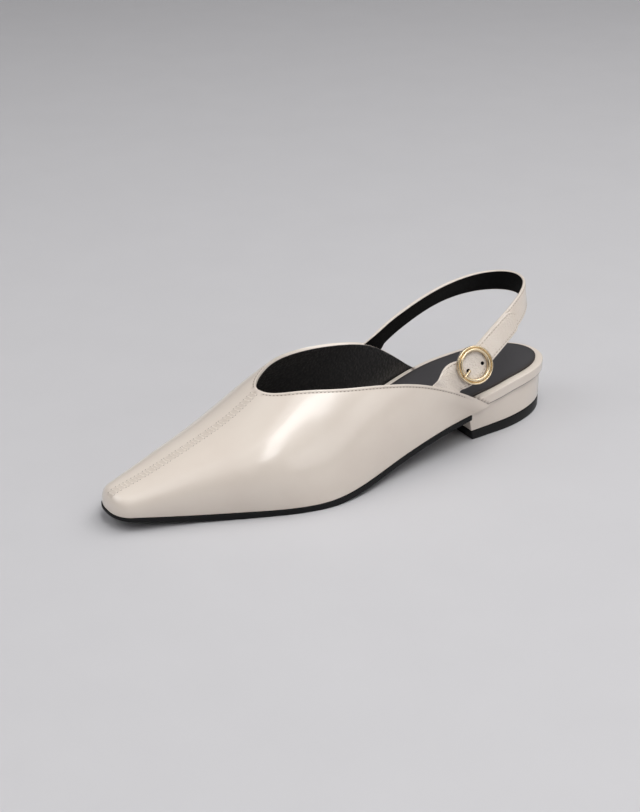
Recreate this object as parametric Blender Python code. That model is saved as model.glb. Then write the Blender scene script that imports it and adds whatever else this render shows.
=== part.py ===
"""Slingback pump with a low block heel, one left shoe standing empty on its sole.

Design sizes are in millimetres. x runs from the back of the heel rim to the toe tip,
y is positive on the lateral (outer) side, z is up from the floor.
"""

import math

import bmesh
import bpy
import numpy as np
from mathutils import Matrix, Vector

MM = 0.001
LENGTH = 255.0
GAP = 0.3

# Upper
WALL = 1.5
THROAT_X = 172.3
LATERAL_TIP_X = 55.0
MEDIAL_TIP_X = 60.0
TOE_ROUND = 7.5
TOE_POWER = 2.5
CROWN_ROUND = 5.5
WING_STATIONS = 18
VAMP_STATIONS = 20
WALL_ROWS = 9

# Sole, heel and footbed
SOLE_PROUD = 0.4
SOLE_EDGE_ROUND = 0.5
HEEL_ROUND = 30.0
BREAST_TOP_X = 66.5
BREAST_FLOOR_X = 60.6
HEEL_FLOOR_BACK = 2.0
HEEL_FLOOR_ROUND = 42.0
HEEL_FLOOR_LATERAL = 25.4
HEEL_FLOOR_MEDIAL = 21.5
HEEL_TOP_INSET = 1.2
LIFT_THICK = 5.6
RIM_INSET = WALL + GAP + 0.1
RIM_ROLL = 1.9
FOOTBED_TOE_X = 252.0
SOCK_INSET = 4.0
SOCK_THICK = 1.0
SOCK_TOE_X = 246.0
PLATE_STATIONS = 40

# Straps
STRAP_WIDTH = 11.5
BILLET_BASE_WIDTH = 16.5
STRAP_THICK = 1.5
BILLET_THICK = 1.4
BILLET_END_ROUND = 5.5
SLING_DEPTH = 0.55
BILLET_DEPTH = 1.15
JOIN_REACH = 7.0
JOIN_CLEAR = 0.35
FOLD_THICK = 0.9
FOLD_LENGTH = 9.0
STRAP_STATIONS = 56
BILLET_STATIONS = 40
BILLET_OVERLAP = 36.0
FLARE_LEAD = 8.0
FLARE_LENGTH = 26.0
HOLE_RADIUS = 1.3
SLOT_HALF = 1.5

# Buckle
RING_OUTER = 9.8
RING_INNER = 6.9
RING_THICK = 2.2
BAR_RADIUS = 0.7
BAR_REACH = 8.3
PRONG_RADIUS = 0.65
PRONG_HOLE_AT = -4.2
RING_SEGMENTS = 40
ROD_SIDES = 10

SECTION_COLUMNS = ("x", "seat_z", "lateral", "medial", "crown_y", "crown_z",
                   "lateral_bulge", "medial_bulge", "lateral_power", "medial_power")
SECTIONS = (
    (0.0, 21.0, 24.5, 22.5, 2.0, 75.0, 0.0, 1.0, 0.80, 0.70),
    (30.0, 20.8, 25.6, 22.7, 2.5, 75.0, 0.0, 1.0, 0.80, 0.70),
    (45.0, 20.4, 29.0, 23.0, 3.0, 74.5, 0.0, 1.0, 0.80, 0.70),
    (62.0, 19.6, 31.0, 22.4, 3.5, 73.5, 0.3, 1.5, 0.85, 0.65),
    (80.0, 17.6, 32.6, 20.0, 4.0, 71.5, 0.6, 3.0, 0.90, 0.57),
    (100.0, 14.0, 34.2, 18.0, 3.0, 69.0, 1.0, 4.0, 0.95, 0.54),
    (120.0, 9.8, 36.9, 20.4, 1.0, 66.4, 1.2, 3.5, 1.00, 0.60),
    (140.0, 5.7, 40.0, 26.8, -1.5, 62.2, 1.0, 2.5, 0.98, 0.72),
    (157.0, 3.6, 40.6, 32.6, -2.8, 57.0, 0.0, 2.0, 1.10, 0.84),
    (172.0, 3.2, 37.5, 35.8, -2.8, 48.8, 2.0, 2.0, 1.06, 0.93),
    (185.0, 3.3, 32.6, 35.4, -2.4, 41.0, 4.0, 2.0, 0.90, 0.93),
    (202.0, 3.8, 25.2, 30.4, -2.1, 33.7, 4.0, 2.0, 0.86, 0.88),
    (218.0, 4.6, 18.6, 25.0, -2.2, 28.0, 2.6, 2.6, 0.76, 0.83),
    (234.0, 6.1, 12.8, 20.0, -2.6, 22.6, 2.0, 2.6, 0.74, 0.80),
    (248.0, 7.9, 8.4, 16.2, -3.2, 18.6, 1.0, 1.6, 0.76, 0.80),
    (255.0, 8.8, 6.4, 14.4, -3.6, 16.8, 0.5, 0.8, 0.78, 0.80),
)

TOPLINE_COLUMNS = ("x", "z")
LATERAL_TOPLINE = (
    (55.0, 21.0), (63.0, 26.6), (72.0, 32.4), (82.0, 37.8), (92.0, 42.3), (103.0, 46.0),
    (117.0, 49.0), (131.0, 50.8), (146.0, 51.7), (160.0, 51.6), (173.0, 48.6),
)
MEDIAL_TOPLINE = (
    (60.0, 20.5), (67.0, 24.6), (76.0, 32.0), (86.0, 40.0), (94.0, 45.2), (103.0, 49.0),
    (118.0, 52.6), (131.0, 54.2), (145.0, 54.7), (159.0, 53.4), (173.0, 48.4),
)

SOLE_COLUMNS = ("x", "thick")
SOLE_THICKNESS = ((66.0, 2.7), (110.0, 3.0), (150.0, 3.4), (195.0, 3.4), (225.0, 2.7), (255.5, 1.6))

FOOTBED_COLUMNS = ("x", "thick")
FOOTBED_THICKNESS = ((0.0, 5.4), (60.0, 5.4), (90.0, 4.6), (130.0, 3.0), (170.0, 2.4), (255.0, 2.2))

# Sling band: tucked rows give x and z only, they lie along the inside of the medial wing
SLING_TUCK_COLUMNS = ("x", "z")
SLING_TUCK = ((114.0, 33.0), (104.0, 38.4), (94.0, 44.2))
BAND_COLUMNS = ("x", "y", "z", "lean_deg")
SLING_FREE = (
    (84.0, -20.6, 49.2, 10.0),
    (71.0, -21.4, 54.8, 15.0),
    (54.5, -21.6, 60.4, 17.0),
    (38.0, -21.4, 63.2, 15.0),
    (24.0, -18.6, 64.4, 10.0),
    (15.2, -11.4, 65.6, 4.0),
    (12.4, -3.6, 66.2, 2.0),
    (14.0, 4.2, 66.0, 5.0),
    (20.4, 12.0, 64.8, 13.0),
    (32.8, 20.0, 61.8, 22.0),
    (46.8, 25.2, 56.6, 26.0),
    (57.8, 27.4, 50.6, 26.0),
    (65.9, 28.2, 45.7, 25.0),
)
# Billet ahead of the buckle, then tucked along the inside of the lateral wing
BILLET_FREE = (
    (76.0, 28.6, 42.0, 18.0),
)
BILLET_TUCK = ((86.0, 36.0), (95.0, 30.2), (103.0, 25.4))

CREAM = (0.66, 0.58, 0.51)
BLACK = (0.012, 0.012, 0.013)
CHARCOAL = (0.02, 0.02, 0.022)
GOLD = (0.83, 0.61, 0.25)


def spline(rows):
    """Natural cubic through rows of (x, value); returns a function of x."""
    xs = np.array([row[0] for row in rows])
    ys = np.array([row[1] for row in rows])
    count = len(xs)
    step = np.diff(xs)
    matrix = np.zeros((count, count))
    right = np.zeros(count)
    matrix[0, 0] = 1.0
    matrix[-1, -1] = 1.0
    for i in range(1, count - 1):
        matrix[i, i - 1] = step[i - 1]
        matrix[i, i] = 2.0 * (step[i - 1] + step[i])
        matrix[i, i + 1] = step[i]
        right[i] = 6.0 * ((ys[i + 1] - ys[i]) / step[i] - (ys[i] - ys[i - 1]) / step[i - 1])
    bend = np.linalg.solve(matrix, right)

    def value(x):
        x = min(max(x, xs[0]), xs[-1])
        i = int(min(max(np.searchsorted(xs, x) - 1, 0), count - 2))
        a = (xs[i + 1] - x) / step[i]
        b = 1.0 - a
        cubic = ((a ** 3 - a) * bend[i] + (b ** 3 - b) * bend[i + 1]) * step[i] ** 2 / 6.0
        return float(a * ys[i] + b * ys[i + 1] + cubic)

    return value


SECTION = {name: spline([(row[0], row[k]) for row in SECTIONS])
           for k, name in enumerate(SECTION_COLUMNS) if k}
TOPLINE = {1: spline(LATERAL_TOPLINE), -1: spline(MEDIAL_TOPLINE)}
SOLE_THICK = spline(SOLE_THICKNESS)
FOOTBED_THICK = spline(FOOTBED_THICKNESS)
SIDE_NAME = {1: "lateral", -1: "medial"}


def end_cap(x, start, end, start_round, end_round, end_power=TOE_POWER):
    """Share of the full half width left at x, so both ends close round."""
    share = 1.0
    if start_round and x < start + start_round:
        u = min(1.0, max(0.0, 1.0 - (x - start) / start_round))
        share *= math.sqrt(1.0 - u * u)
    if end_round and x > end - end_round:
        u = min(1.0, max(0.0, 1.0 - (end - x) / end_round))
        share *= (1.0 - u ** end_power) ** (1.0 / end_power)
    return share


def feather(side, x, inset=0.0):
    """Outline of the lasted bottom at x on one side, before any end is rounded."""
    return side * (SECTION[SIDE_NAME[side]](x) - inset)


def wall_point(side, x, rise):
    """Outer face of the upper: rise goes from 0 at the feather line to 1 on the crown."""
    cap = end_cap(x, -1.0, LENGTH, 0.0, TOE_ROUND)
    crown_cap = end_cap(x, -1.0, LENGTH, 0.0, CROWN_ROUND)
    crown_y = SECTION["crown_y"](x)
    seat = SECTION["seat_z"](x)
    crown = seat + (SECTION["crown_z"](x) - seat) * crown_cap
    name = SIDE_NAME[side]
    angle = rise * math.pi / 2.0
    across = (feather(side, x) - crown_y) * max(0.0, math.cos(angle)) ** SECTION[name + "_power"](x)
    across += side * SECTION[name + "_bulge"](x) * math.sin(2.0 * angle)
    return Vector((x, crown_y + across * cap, seat + (crown - seat) * math.sin(angle)))


def rise_at(side, x, z):
    """Rise on the wall where its height is z."""
    seat = SECTION["seat_z"](x)
    share = (z - seat) / (SECTION["crown_z"](x) - seat)
    return math.asin(min(1.0, max(0.0, share))) * 2.0 / math.pi


def top_rise(side, x):
    """Rise of the upper's edge: the crown ahead of the throat, the topline behind it."""
    if x >= THROAT_X:
        return 1.0
    return rise_at(side, x, TOPLINE[side](x))


def wall_frame(side, x, z):
    """Point, upward direction and inward normal on the outer wall at x and height z."""
    rise = rise_at(side, x, z)
    point = wall_point(side, x, rise)
    up = (wall_point(side, x, rise + 0.01) - wall_point(side, x, rise - 0.01)).normalized()
    along = (wall_point(side, x + 0.5, rise_at(side, x + 0.5, z))
             - wall_point(side, x - 0.5, rise_at(side, x - 0.5, z))).normalized()
    inward = along.cross(up).normalized() * side
    if inward.y * side > 0.0:
        inward.negate()
    return point, up, inward


def add_object(name, bm, material, parent):
    """Makes a named object from a mesh built in millimetres."""
    bmesh.ops.remove_doubles(bm, verts=bm.verts, dist=0.0005)
    bmesh.ops.dissolve_degenerate(bm, dist=0.0001, edges=bm.edges)
    bmesh.ops.recalc_face_normals(bm, faces=bm.faces)
    bmesh.ops.scale(bm, vec=(MM, MM, MM), verts=bm.verts)
    mesh = bpy.data.meshes.new(name)
    bm.to_mesh(mesh)
    bm.free()
    mesh.materials.append(material)
    item = bpy.data.objects.new(name, mesh)
    bpy.context.scene.collection.objects.link(item)
    item.parent = parent
    return item


def add_material(name, colour, roughness, metallic=0.0):
    material = bpy.data.materials.new(name)
    material.use_nodes = True
    shader = material.node_tree.nodes["Principled BSDF"]
    shader.inputs["Base Color"].default_value = (*colour, 1.0)
    shader.inputs["Roughness"].default_value = roughness
    shader.inputs["Metallic"].default_value = metallic
    return material


def plate_mesh(layers):
    """Closed plate from layers of (lateral points, medial points), bottom layer first."""
    bm = bmesh.new()
    rings = []
    for lateral, medial in layers:
        rings.append(([bm.verts.new(p) for p in lateral], [bm.verts.new(p) for p in medial]))
    count = len(layers[0][0])
    for (low_lat, low_med), (top_lat, top_med) in zip(rings, rings[1:]):
        for i in range(count - 1):
            bm.faces.new((low_lat[i], low_lat[i + 1], top_lat[i + 1], top_lat[i]))
            bm.faces.new((low_med[i + 1], low_med[i], top_med[i], top_med[i + 1]))
        bm.faces.new((low_med[0], low_lat[0], top_lat[0], top_med[0]))
        bm.faces.new((low_lat[-1], low_med[-1], top_med[-1], top_lat[-1]))
    for lateral, medial, flip in ((*rings[0], True), (*rings[-1], False)):
        for i in range(count - 1):
            quad = (lateral[i], lateral[i + 1], medial[i + 1], medial[i])
            bm.faces.new(tuple(reversed(quad)) if flip else quad)
    return bm


def outline_layer(start, end, inset, height, rounds, spacing):
    """One plate layer: outline points drawn in by inset, with height given as a function of x."""
    lateral = []
    medial = []
    for i in range(PLATE_STATIONS + 1):
        x = start + (end - start) * spacing(i / PLATE_STATIONS)
        out = feather(1, x, inset)
        back = feather(-1, x, inset)
        middle = (out + back) / 2.0
        half = (out - back) / 2.0 * end_cap(x, start, end, *rounds)
        lateral.append(Vector((x, middle + half, height(x))))
        medial.append(Vector((x, middle - half, height(x))))
    return lateral, medial


def both_ends(u):
    return (1.0 - math.cos(math.pi * u)) / 2.0


def toe_end(u):
    return math.sin(math.pi * u / 2.0)


def heel_end(u):
    return 1.0 - math.cos(math.pi * u / 2.0)


def build_upper(material, parent):
    """Outer face of both halves as grids, then a real wall grown inward."""
    bm = bmesh.new()
    tips = {1: LATERAL_TIP_X, -1: MEDIAL_TIP_X}
    for side in (1, -1):
        stations = []
        for i in range(WING_STATIONS, 0, -1):
            stations.append(THROAT_X - (THROAT_X - tips[side]) * (i / WING_STATIONS) ** 1.7)
        for i in range(VAMP_STATIONS + 1):
            stations.append(THROAT_X + (LENGTH - THROAT_X) * (1.0 - (1.0 - i / VAMP_STATIONS) ** 1.7))
        columns = []
        for x in stations:
            top = top_rise(side, x)
            columns.append([bm.verts.new(wall_point(side, x, top * j / WALL_ROWS))
                            for j in range(WALL_ROWS + 1)])
        for near, far in zip(columns, columns[1:]):
            for j in range(WALL_ROWS):
                quad = (near[j], near[j + 1], far[j + 1], far[j])
                bm.faces.new(quad if side > 0 else tuple(reversed(quad)))
    upper = add_object("upper", bm, material, parent)
    shell = upper.modifiers.new("wall", "SOLIDIFY")
    shell.thickness = WALL * MM
    shell.offset = -1.0
    shell.use_even_offset = True
    shell.use_quality_normals = True
    return upper


def sole_top(x):
    return SECTION["seat_z"](x) - GAP


def sole_bottom(x):
    return max(0.0, sole_top(x) - SOLE_THICK(x))


def build_outsole(material, parent):
    def layer(inset, height):
        return outline_layer(BREAST_TOP_X + GAP, LENGTH + SOLE_PROUD - inset, inset - SOLE_PROUD, height,
                             (0.0, TOE_ROUND), toe_end)

    layers = [
        layer(SOLE_EDGE_ROUND, sole_bottom),
        layer(0.0, lambda x: sole_bottom(x) + SOLE_EDGE_ROUND),
        layer(0.0, lambda x: sole_top(x) - SOLE_EDGE_ROUND),
        layer(SOLE_EDGE_ROUND / 2.0, sole_top),
    ]
    return add_object("outsole", plate_mesh(layers), material, parent)


def heel_layer(share, height):
    """Heel outline between the floor (share 0) and the seat (share 1)."""
    back = HEEL_FLOOR_BACK + (HEEL_TOP_INSET - HEEL_FLOOR_BACK) * share
    breast = BREAST_FLOOR_X + (BREAST_TOP_X - BREAST_FLOOR_X) * share
    rounding = HEEL_FLOOR_ROUND + (HEEL_ROUND - HEEL_FLOOR_ROUND) * share
    lateral = []
    medial = []
    for i in range(PLATE_STATIONS // 2 + 1):
        x = back + (breast - back) * heel_end(i * 2.0 / PLATE_STATIONS)
        inset = RIM_INSET + HEEL_TOP_INSET
        out = HEEL_FLOOR_LATERAL * (1.0 - share) + feather(1, x, inset) * share
        far = -HEEL_FLOOR_MEDIAL * (1.0 - share) + feather(-1, x, inset) * share
        middle = (out + far) / 2.0
        half = (out - far) / 2.0 * end_cap(x, back, breast, rounding, 0.0)
        lateral.append(Vector((x, middle + half, height(x))))
        medial.append(Vector((x, middle - half, height(x))))
    return lateral, medial


def build_heel(cover, rubber, parent):
    lift = [heel_layer(0.0, lambda x: 0.0), heel_layer(0.28, lambda x: LIFT_THICK)]
    add_object("heel_top_lift", plate_mesh(lift), rubber, parent)
    base = LIFT_THICK + GAP
    block = []
    for share in (0.0, 0.33, 0.67, 1.0):
        block.append(heel_layer(0.28 + 0.72 * share,
                                lambda x, s=share: base + (sole_top(x) - base) * s))
    add_object("heel_block", plate_mesh(block), cover, parent)


def footbed_top(x):
    return SECTION["seat_z"](x) + FOOTBED_THICK(x)


def build_footbed(cover, sock, parent):
    def layer(inset, height):
        return outline_layer(inset, FOOTBED_TOE_X - inset, RIM_INSET + inset, height,
                             (HEEL_ROUND, TOE_ROUND), both_ends)

    seat = SECTION["seat_z"]
    layers = [
        layer(0.5, seat),
        layer(0.0, lambda x: seat(x) + 0.5),
        layer(0.0, lambda x: footbed_top(x) - min(RIM_ROLL, 0.6 * FOOTBED_THICK(x))),
        layer(RIM_ROLL * 0.3, lambda x: footbed_top(x) - 0.25 * RIM_ROLL),
        layer(RIM_ROLL, footbed_top),
    ]
    add_object("footbed", plate_mesh(layers), cover, parent)

    def sheet(inset, rise):
        return outline_layer(SOCK_INSET + inset, SOCK_TOE_X - inset, RIM_INSET + SOCK_INSET + inset,
                             lambda x: footbed_top(x) + rise, (HEEL_ROUND - SOCK_INSET, TOE_ROUND), both_ends)

    sheets = [sheet(0.0, GAP), sheet(0.0, GAP + SOCK_THICK * 0.6), sheet(0.5, GAP + SOCK_THICK)]
    add_object("insole_sock", plate_mesh(sheets), sock, parent)


class Band:
    """Smooth run of a strap: points and width directions through a few rows."""

    def __init__(self, rows):
        steps = [0.0]
        for (a, _), (b, _) in zip(rows, rows[1:]):
            steps.append(steps[-1] + (b - a).length)
        self.length = steps[-1]
        self.steps = steps
        self.place = [spline([(s, row[0][k]) for s, row in zip(steps, rows)]) for k in range(3)]
        self.lift = [spline([(s, row[1][k]) for s, row in zip(steps, rows)]) for k in range(3)]

    def frame(self, s):
        """Point, run direction, width direction and outward normal at distance s."""
        s = min(max(s, 0.0), self.length)
        point = Vector([f(s) for f in self.place])
        ahead = Vector([f(min(s + 0.2, self.length)) for f in self.place])
        behind = Vector([f(max(s - 0.2, 0.0)) for f in self.place])
        run = (ahead - behind).normalized()
        wide = Vector([f(s) for f in self.lift])
        wide = (wide - run * wide.dot(run)).normalized()
        return point, run, wide, wide.cross(run).normalized()


def lean_up(x, y, lean_deg):
    """Upward direction of a band that leans in over the heel by lean_deg."""
    inward = Vector((40.0 - min(x, 40.0), 2.0 - y, 0.0)).normalized()
    lean = math.radians(lean_deg)
    return inward * math.sin(lean) + Vector((0.0, 0.0, math.cos(lean)))


def tucked(side, x, z, depth):
    """Row of a band that runs on within the thickness of a wing."""
    point, up, inward = wall_frame(side, x, z)
    return point + inward * depth, up


def free_row(row):
    x, y, z, lean = row
    return Vector((x, y, z)), lean_up(x, y, lean)


def ribbon_mesh(frames, widths, thicks):
    """Closed band through frames of (point, width direction, normal)."""
    bm = bmesh.new()
    rings = []
    for (point, wide, out), width, thick in zip(frames, widths, thicks):
        ring = []
        for across, up in ((-1, -1), (1, -1), (1, 1), (-1, 1)):
            ring.append(bm.verts.new(point + wide * across * width / 2.0 + out * up * thick / 2.0))
        rings.append(ring)
    for near, far in zip(rings, rings[1:]):
        for k in range(4):
            m = (k + 1) % 4
            bm.faces.new((near[k], near[m], far[m], far[k]))
    bm.faces.new(tuple(reversed(rings[0])))
    bm.faces.new(rings[-1])
    return bm


def rod_mesh(points, radius, across):
    """Closed round rod through points lying in one plane; across is the plane's normal."""
    bm = bmesh.new()
    rings = []
    for i, point in enumerate(points):
        run = (points[min(i + 1, len(points) - 1)] - points[max(i - 1, 0)]).normalized()
        up = run.cross(across).normalized()
        ring = []
        for k in range(ROD_SIDES):
            angle = 2.0 * math.pi * k / ROD_SIDES
            ring.append(bm.verts.new(point + (up * math.cos(angle) + across * math.sin(angle)) * radius))
        rings.append(ring)
    for near, far in zip(rings, rings[1:]):
        for k in range(ROD_SIDES):
            m = (k + 1) % ROD_SIDES
            bm.faces.new((near[k], near[m], far[m], far[k]))
    bm.faces.new(tuple(reversed(rings[0])))
    bm.faces.new(rings[-1])
    return bm


def ring_mesh(profile, segments, axis):
    """Closed ring: a profile of (radius, height) spun about an axis."""
    bm = bmesh.new()
    side = Vector((1.0, 0.0, 0.0)) if axis.z else Vector((0.0, 0.0, 1.0))
    verts = [bm.verts.new(side * radius + axis * height) for radius, height in profile]
    edges = [bm.edges.new((verts[i], verts[(i + 1) % len(verts)])) for i in range(len(verts))]
    bmesh.ops.spin(bm, geom=verts + edges, cent=(0, 0, 0), axis=axis, angle=2.0 * math.pi,
                   steps=segments, use_merge=True, use_duplicate=False)
    return bm


def box_mesh(low, high):
    bm = bmesh.new()
    bmesh.ops.create_cube(bm, size=1.0)
    low = Vector(low)
    high = Vector(high)
    bmesh.ops.scale(bm, vec=high - low, verts=bm.verts)
    bmesh.ops.translate(bm, vec=(low + high) / 2.0, verts=bm.verts)
    return bm


def helper(bm, material, parent, name):
    """Hidden solid used only by a Boolean modifier."""
    item = add_object(name, bm, material, parent)
    item.hide_render = True
    item.display_type = "WIRE"
    return item


def combine(target, tool, operation):
    modifier = target.modifiers.new(tool.name, "BOOLEAN")
    modifier.operation = operation
    modifier.solver = "EXACT"
    modifier.object = tool


def wing_helper(side, material, parent):
    """Thickened wing, a little higher than the topline, that trims a band where the two join."""
    bm = bmesh.new()
    columns = []
    for i in range(WING_STATIONS + 1):
        x = 66.0 + 56.0 * i / WING_STATIONS
        top = rise_at(side, x, TOPLINE[side](x) + JOIN_CLEAR)
        columns.append([bm.verts.new(wall_point(side, x, top * (0.1 + 0.9 * j / WALL_ROWS)))
                        for j in range(WALL_ROWS + 1)])
    for near, far in zip(columns, columns[1:]):
        for j in range(WALL_ROWS):
            quad = (near[j], near[j + 1], far[j + 1], far[j])
            bm.faces.new(quad if side > 0 else tuple(reversed(quad)))
    item = helper(bm, material, parent, "cut_" + SIDE_NAME[side] + "_join")
    shell = item.modifiers.new("wall", "SOLIDIFY")
    shell.thickness = JOIN_REACH * MM
    shell.offset = 0.0
    return item


def sling_band():
    rows = [tucked(-1, x, z, SLING_DEPTH) for x, z in SLING_TUCK]
    rows += [free_row(row) for row in SLING_FREE]
    return Band(rows)


def buckle_levels():
    """Heights along the buckle's outward axis, from the middle of the sling band."""
    billet = STRAP_THICK / 2.0 + GAP + BILLET_THICK / 2.0
    ring_back = billet + BILLET_THICK / 2.0 + GAP
    fold_radius = BAR_RADIUS + 0.25 + FOLD_THICK / 2.0
    bar = (STRAP_THICK - FOLD_THICK) / 2.0 - fold_radius
    return billet, ring_back, fold_radius, bar


def build_straps(cover, parent, place):
    billet_level, _, fold_radius, bar_level = buckle_levels()
    band = sling_band()
    point, run, wide, out = band.frame(band.length)
    frames = []
    widths = []
    thicks = []
    for i in range(STRAP_STATIONS + 1):
        s = (band.length - 4.0) * i / STRAP_STATIONS
        p, _, w, n = band.frame(s)
        frames.append((p, w, n))
        widths.append(STRAP_WIDTH)
        thicks.append(STRAP_THICK)
    layer = (STRAP_THICK - FOLD_THICK) / 2.0
    frames.append((point - run * 2.0 + out * layer, wide, out))
    for k in range(9):
        angle = math.pi * k / 8.0
        radial = out * math.cos(angle) + run * math.sin(angle)
        frames.append((point + out * bar_level + radial * fold_radius, wide, radial))
    for back in (2.5, FOLD_LENGTH):
        p, _, w, n = band.frame(band.length - back)
        frames.append((p + n * (bar_level - fold_radius), w, -n))
    fold_count = len(frames) - len(thicks)
    widths += [STRAP_WIDTH] * fold_count
    thicks += [FOLD_THICK] * fold_count
    sling = add_object("sling_strap", ribbon_mesh(frames, widths, thicks), cover, parent)
    slot = box_mesh((-3.2, -SLOT_HALF, bar_level - 4.0), (3.0, SLOT_HALF, bar_level + 4.0))
    slot.transform(place)
    combine(sling, helper(slot, cover, parent, "cut_prong_slot"), "DIFFERENCE")
    combine(sling, wing_helper(-1, cover, parent), "DIFFERENCE")

    rows = []
    for back in (BILLET_OVERLAP, 25.0, 18.0, 12.0, 6.0, 0.0):
        p, _, w, n = band.frame(band.length - back)
        rows.append((p + n * billet_level, w))
    rows.append((point + run * 5.0 + out * billet_level, wide))
    rows += [free_row(row) for row in BILLET_FREE]
    rows += [tucked(1, x, z, BILLET_DEPTH) for x, z in BILLET_TUCK]
    tail = Band(rows)
    frames = []
    widths = []
    for i in range(BILLET_STATIONS + 1):
        u = i / BILLET_STATIONS
        s = tail.length * (u ** 1.4)
        p, _, w, n = tail.frame(s)
        frames.append((p, w, n))
        short = max(0.0, 1.0 - (s + 0.15) / BILLET_END_ROUND)
        flare = min(1.0, max(0.0, (s - BILLET_OVERLAP + FLARE_LEAD) / FLARE_LENGTH))
        width = STRAP_WIDTH + (BILLET_BASE_WIDTH - STRAP_WIDTH) * flare
        widths.append(width * math.sqrt(1.0 - short * short))
    billet = add_object("strap_billet", ribbon_mesh(frames, widths, [BILLET_THICK] * len(frames)),
                        cover, parent)
    hole = rod_mesh([Vector((-PRONG_HOLE_AT, 0.0, -1.0)), Vector((-PRONG_HOLE_AT, 0.0, 5.0))],
                    HOLE_RADIUS, Vector((0.0, 1.0, 0.0)))
    hole.transform(place)
    combine(billet, helper(hole, cover, parent, "cut_prong_hole"), "DIFFERENCE")
    combine(billet, wing_helper(1, cover, parent), "DIFFERENCE")


def buckle_place():
    """Buckle frame: run of the strap, width of the strap, outward, at the bar."""
    band = sling_band()
    point, run, wide, out = band.frame(band.length)
    matrix = Matrix((run, wide, out)).transposed().to_4x4()
    matrix.translation = point
    return matrix


def build_buckle(gold, parent, place):
    billet_level, back, fold_radius, bar_level = buckle_levels()
    front = back + RING_THICK
    profile = ((RING_INNER, back), (RING_OUTER - 0.4, back), (RING_OUTER, back + 0.4),
               (RING_OUTER, front - 0.5), (RING_OUTER - 0.6, front), (RING_OUTER - 1.1, front),
               (RING_INNER + 0.5, back + 1.2), (RING_INNER, back + 0.8))
    ring = ring_mesh(profile, RING_SEGMENTS, Vector((0.0, 0.0, 1.0)))
    ring.transform(place)
    frame = add_object("buckle_frame", ring, gold, parent)
    bend = 1.2
    points = []
    for sign in (1, -1):
        post = [Vector((0.0, sign * BAR_REACH, back + 0.6)), Vector((0.0, sign * BAR_REACH, bar_level + bend))]
        for k in (1, 2, 3):
            angle = math.pi / 2.0 * k / 3.0
            post.append(Vector((0.0, sign * (BAR_REACH - bend + bend * math.cos(angle)),
                                bar_level + bend - bend * math.sin(angle))))
        points += post if sign > 0 else list(reversed(post))
    bar = rod_mesh(points, BAR_RADIUS, Vector((1.0, 0.0, 0.0)))
    bar.transform(place)
    combine(frame, helper(bar, gold, parent, "join_bar"), "UNION")

    inner = BAR_RADIUS + 0.25
    outer = inner + 0.75
    eye = ring_mesh(((inner, -0.7), (outer, -0.7), (outer, 0.7), (inner, 0.7)), 20, Vector((0.0, 1.0, 0.0)))
    bmesh.ops.translate(eye, vec=(0.0, 0.0, bar_level), verts=eye.verts)
    eye.transform(place)
    prong = add_object("buckle_prong", eye, gold, parent)
    hole = -PRONG_HOLE_AT
    low = bar_level + inner + 0.35
    rest = back + 1.0 + PRONG_RADIUS + GAP
    pin = [Vector((0.6, 0.0, low)), Vector((hole - 1.2, 0.0, low)), Vector((hole - 0.35, 0.0, low + 0.35)),
           Vector((hole, 0.0, low + 1.2)), Vector((hole, 0.0, rest - 0.9)),
           Vector((hole + 0.3, 0.0, rest - 0.2)), Vector((hole + 1.0, 0.0, rest)),
           Vector((RING_INNER + 1.6, 0.0, rest + 1.2))]
    rod = rod_mesh(pin, PRONG_RADIUS, Vector((0.0, 1.0, 0.0)))
    rod.transform(place)
    combine(prong, helper(rod, gold, parent, "join_pin"), "UNION")


def main():
    for item in list(bpy.data.objects):
        bpy.data.objects.remove(item, do_unlink=True)
    root = bpy.data.objects.new("slingback_pump", None)
    bpy.context.scene.collection.objects.link(root)
    leather = add_material("cream_leather", CREAM, 0.3)
    strap_leather = add_material("strap_leather", CREAM, 0.35)
    heel_leather = add_material("heel_cover_leather", CREAM, 0.3)
    rim_leather = add_material("rim_leather", CREAM, 0.3)
    rubber = add_material("black_rubber", BLACK, 0.6)
    lift_rubber = add_material("lift_rubber", BLACK, 0.6)
    sock = add_material("sock_fabric", CHARCOAL, 0.7)
    gold = add_material("gold_brass", GOLD, 0.2, 1.0)
    place = buckle_place()
    build_outsole(rubber, root)
    build_heel(heel_leather, lift_rubber, root)
    build_footbed(rim_leather, sock, root)
    build_upper(leather, root)
    build_straps(strap_leather, root, place)
    build_buckle(gold, root, place)
    middle_y = (feather(1, 153.0) + feather(-1, 178.0)) / 2.0
    root.location = (-(LENGTH + SOLE_PROUD) / 2.0 * MM, -middle_y * MM, 0.0)


main()
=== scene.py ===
"""Dressed slingback pump: one left shoe in cream leather, standing empty on its sole.

Sizes are in millimetres in the shoe's own axes. x runs from the back of the heel rim to the
toe tip, y is positive on the lateral (outer) side and z is up from the floor. Each piece is
moved to the frame's metres when it is finished.
"""

import logging
import math
from dataclasses import dataclass, field
from enum import Enum
from typing import Callable, Sequence

import bmesh
import bpy
import numpy as np
from mathutils import Matrix, Vector
from mathutils.kdtree import KDTree


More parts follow.
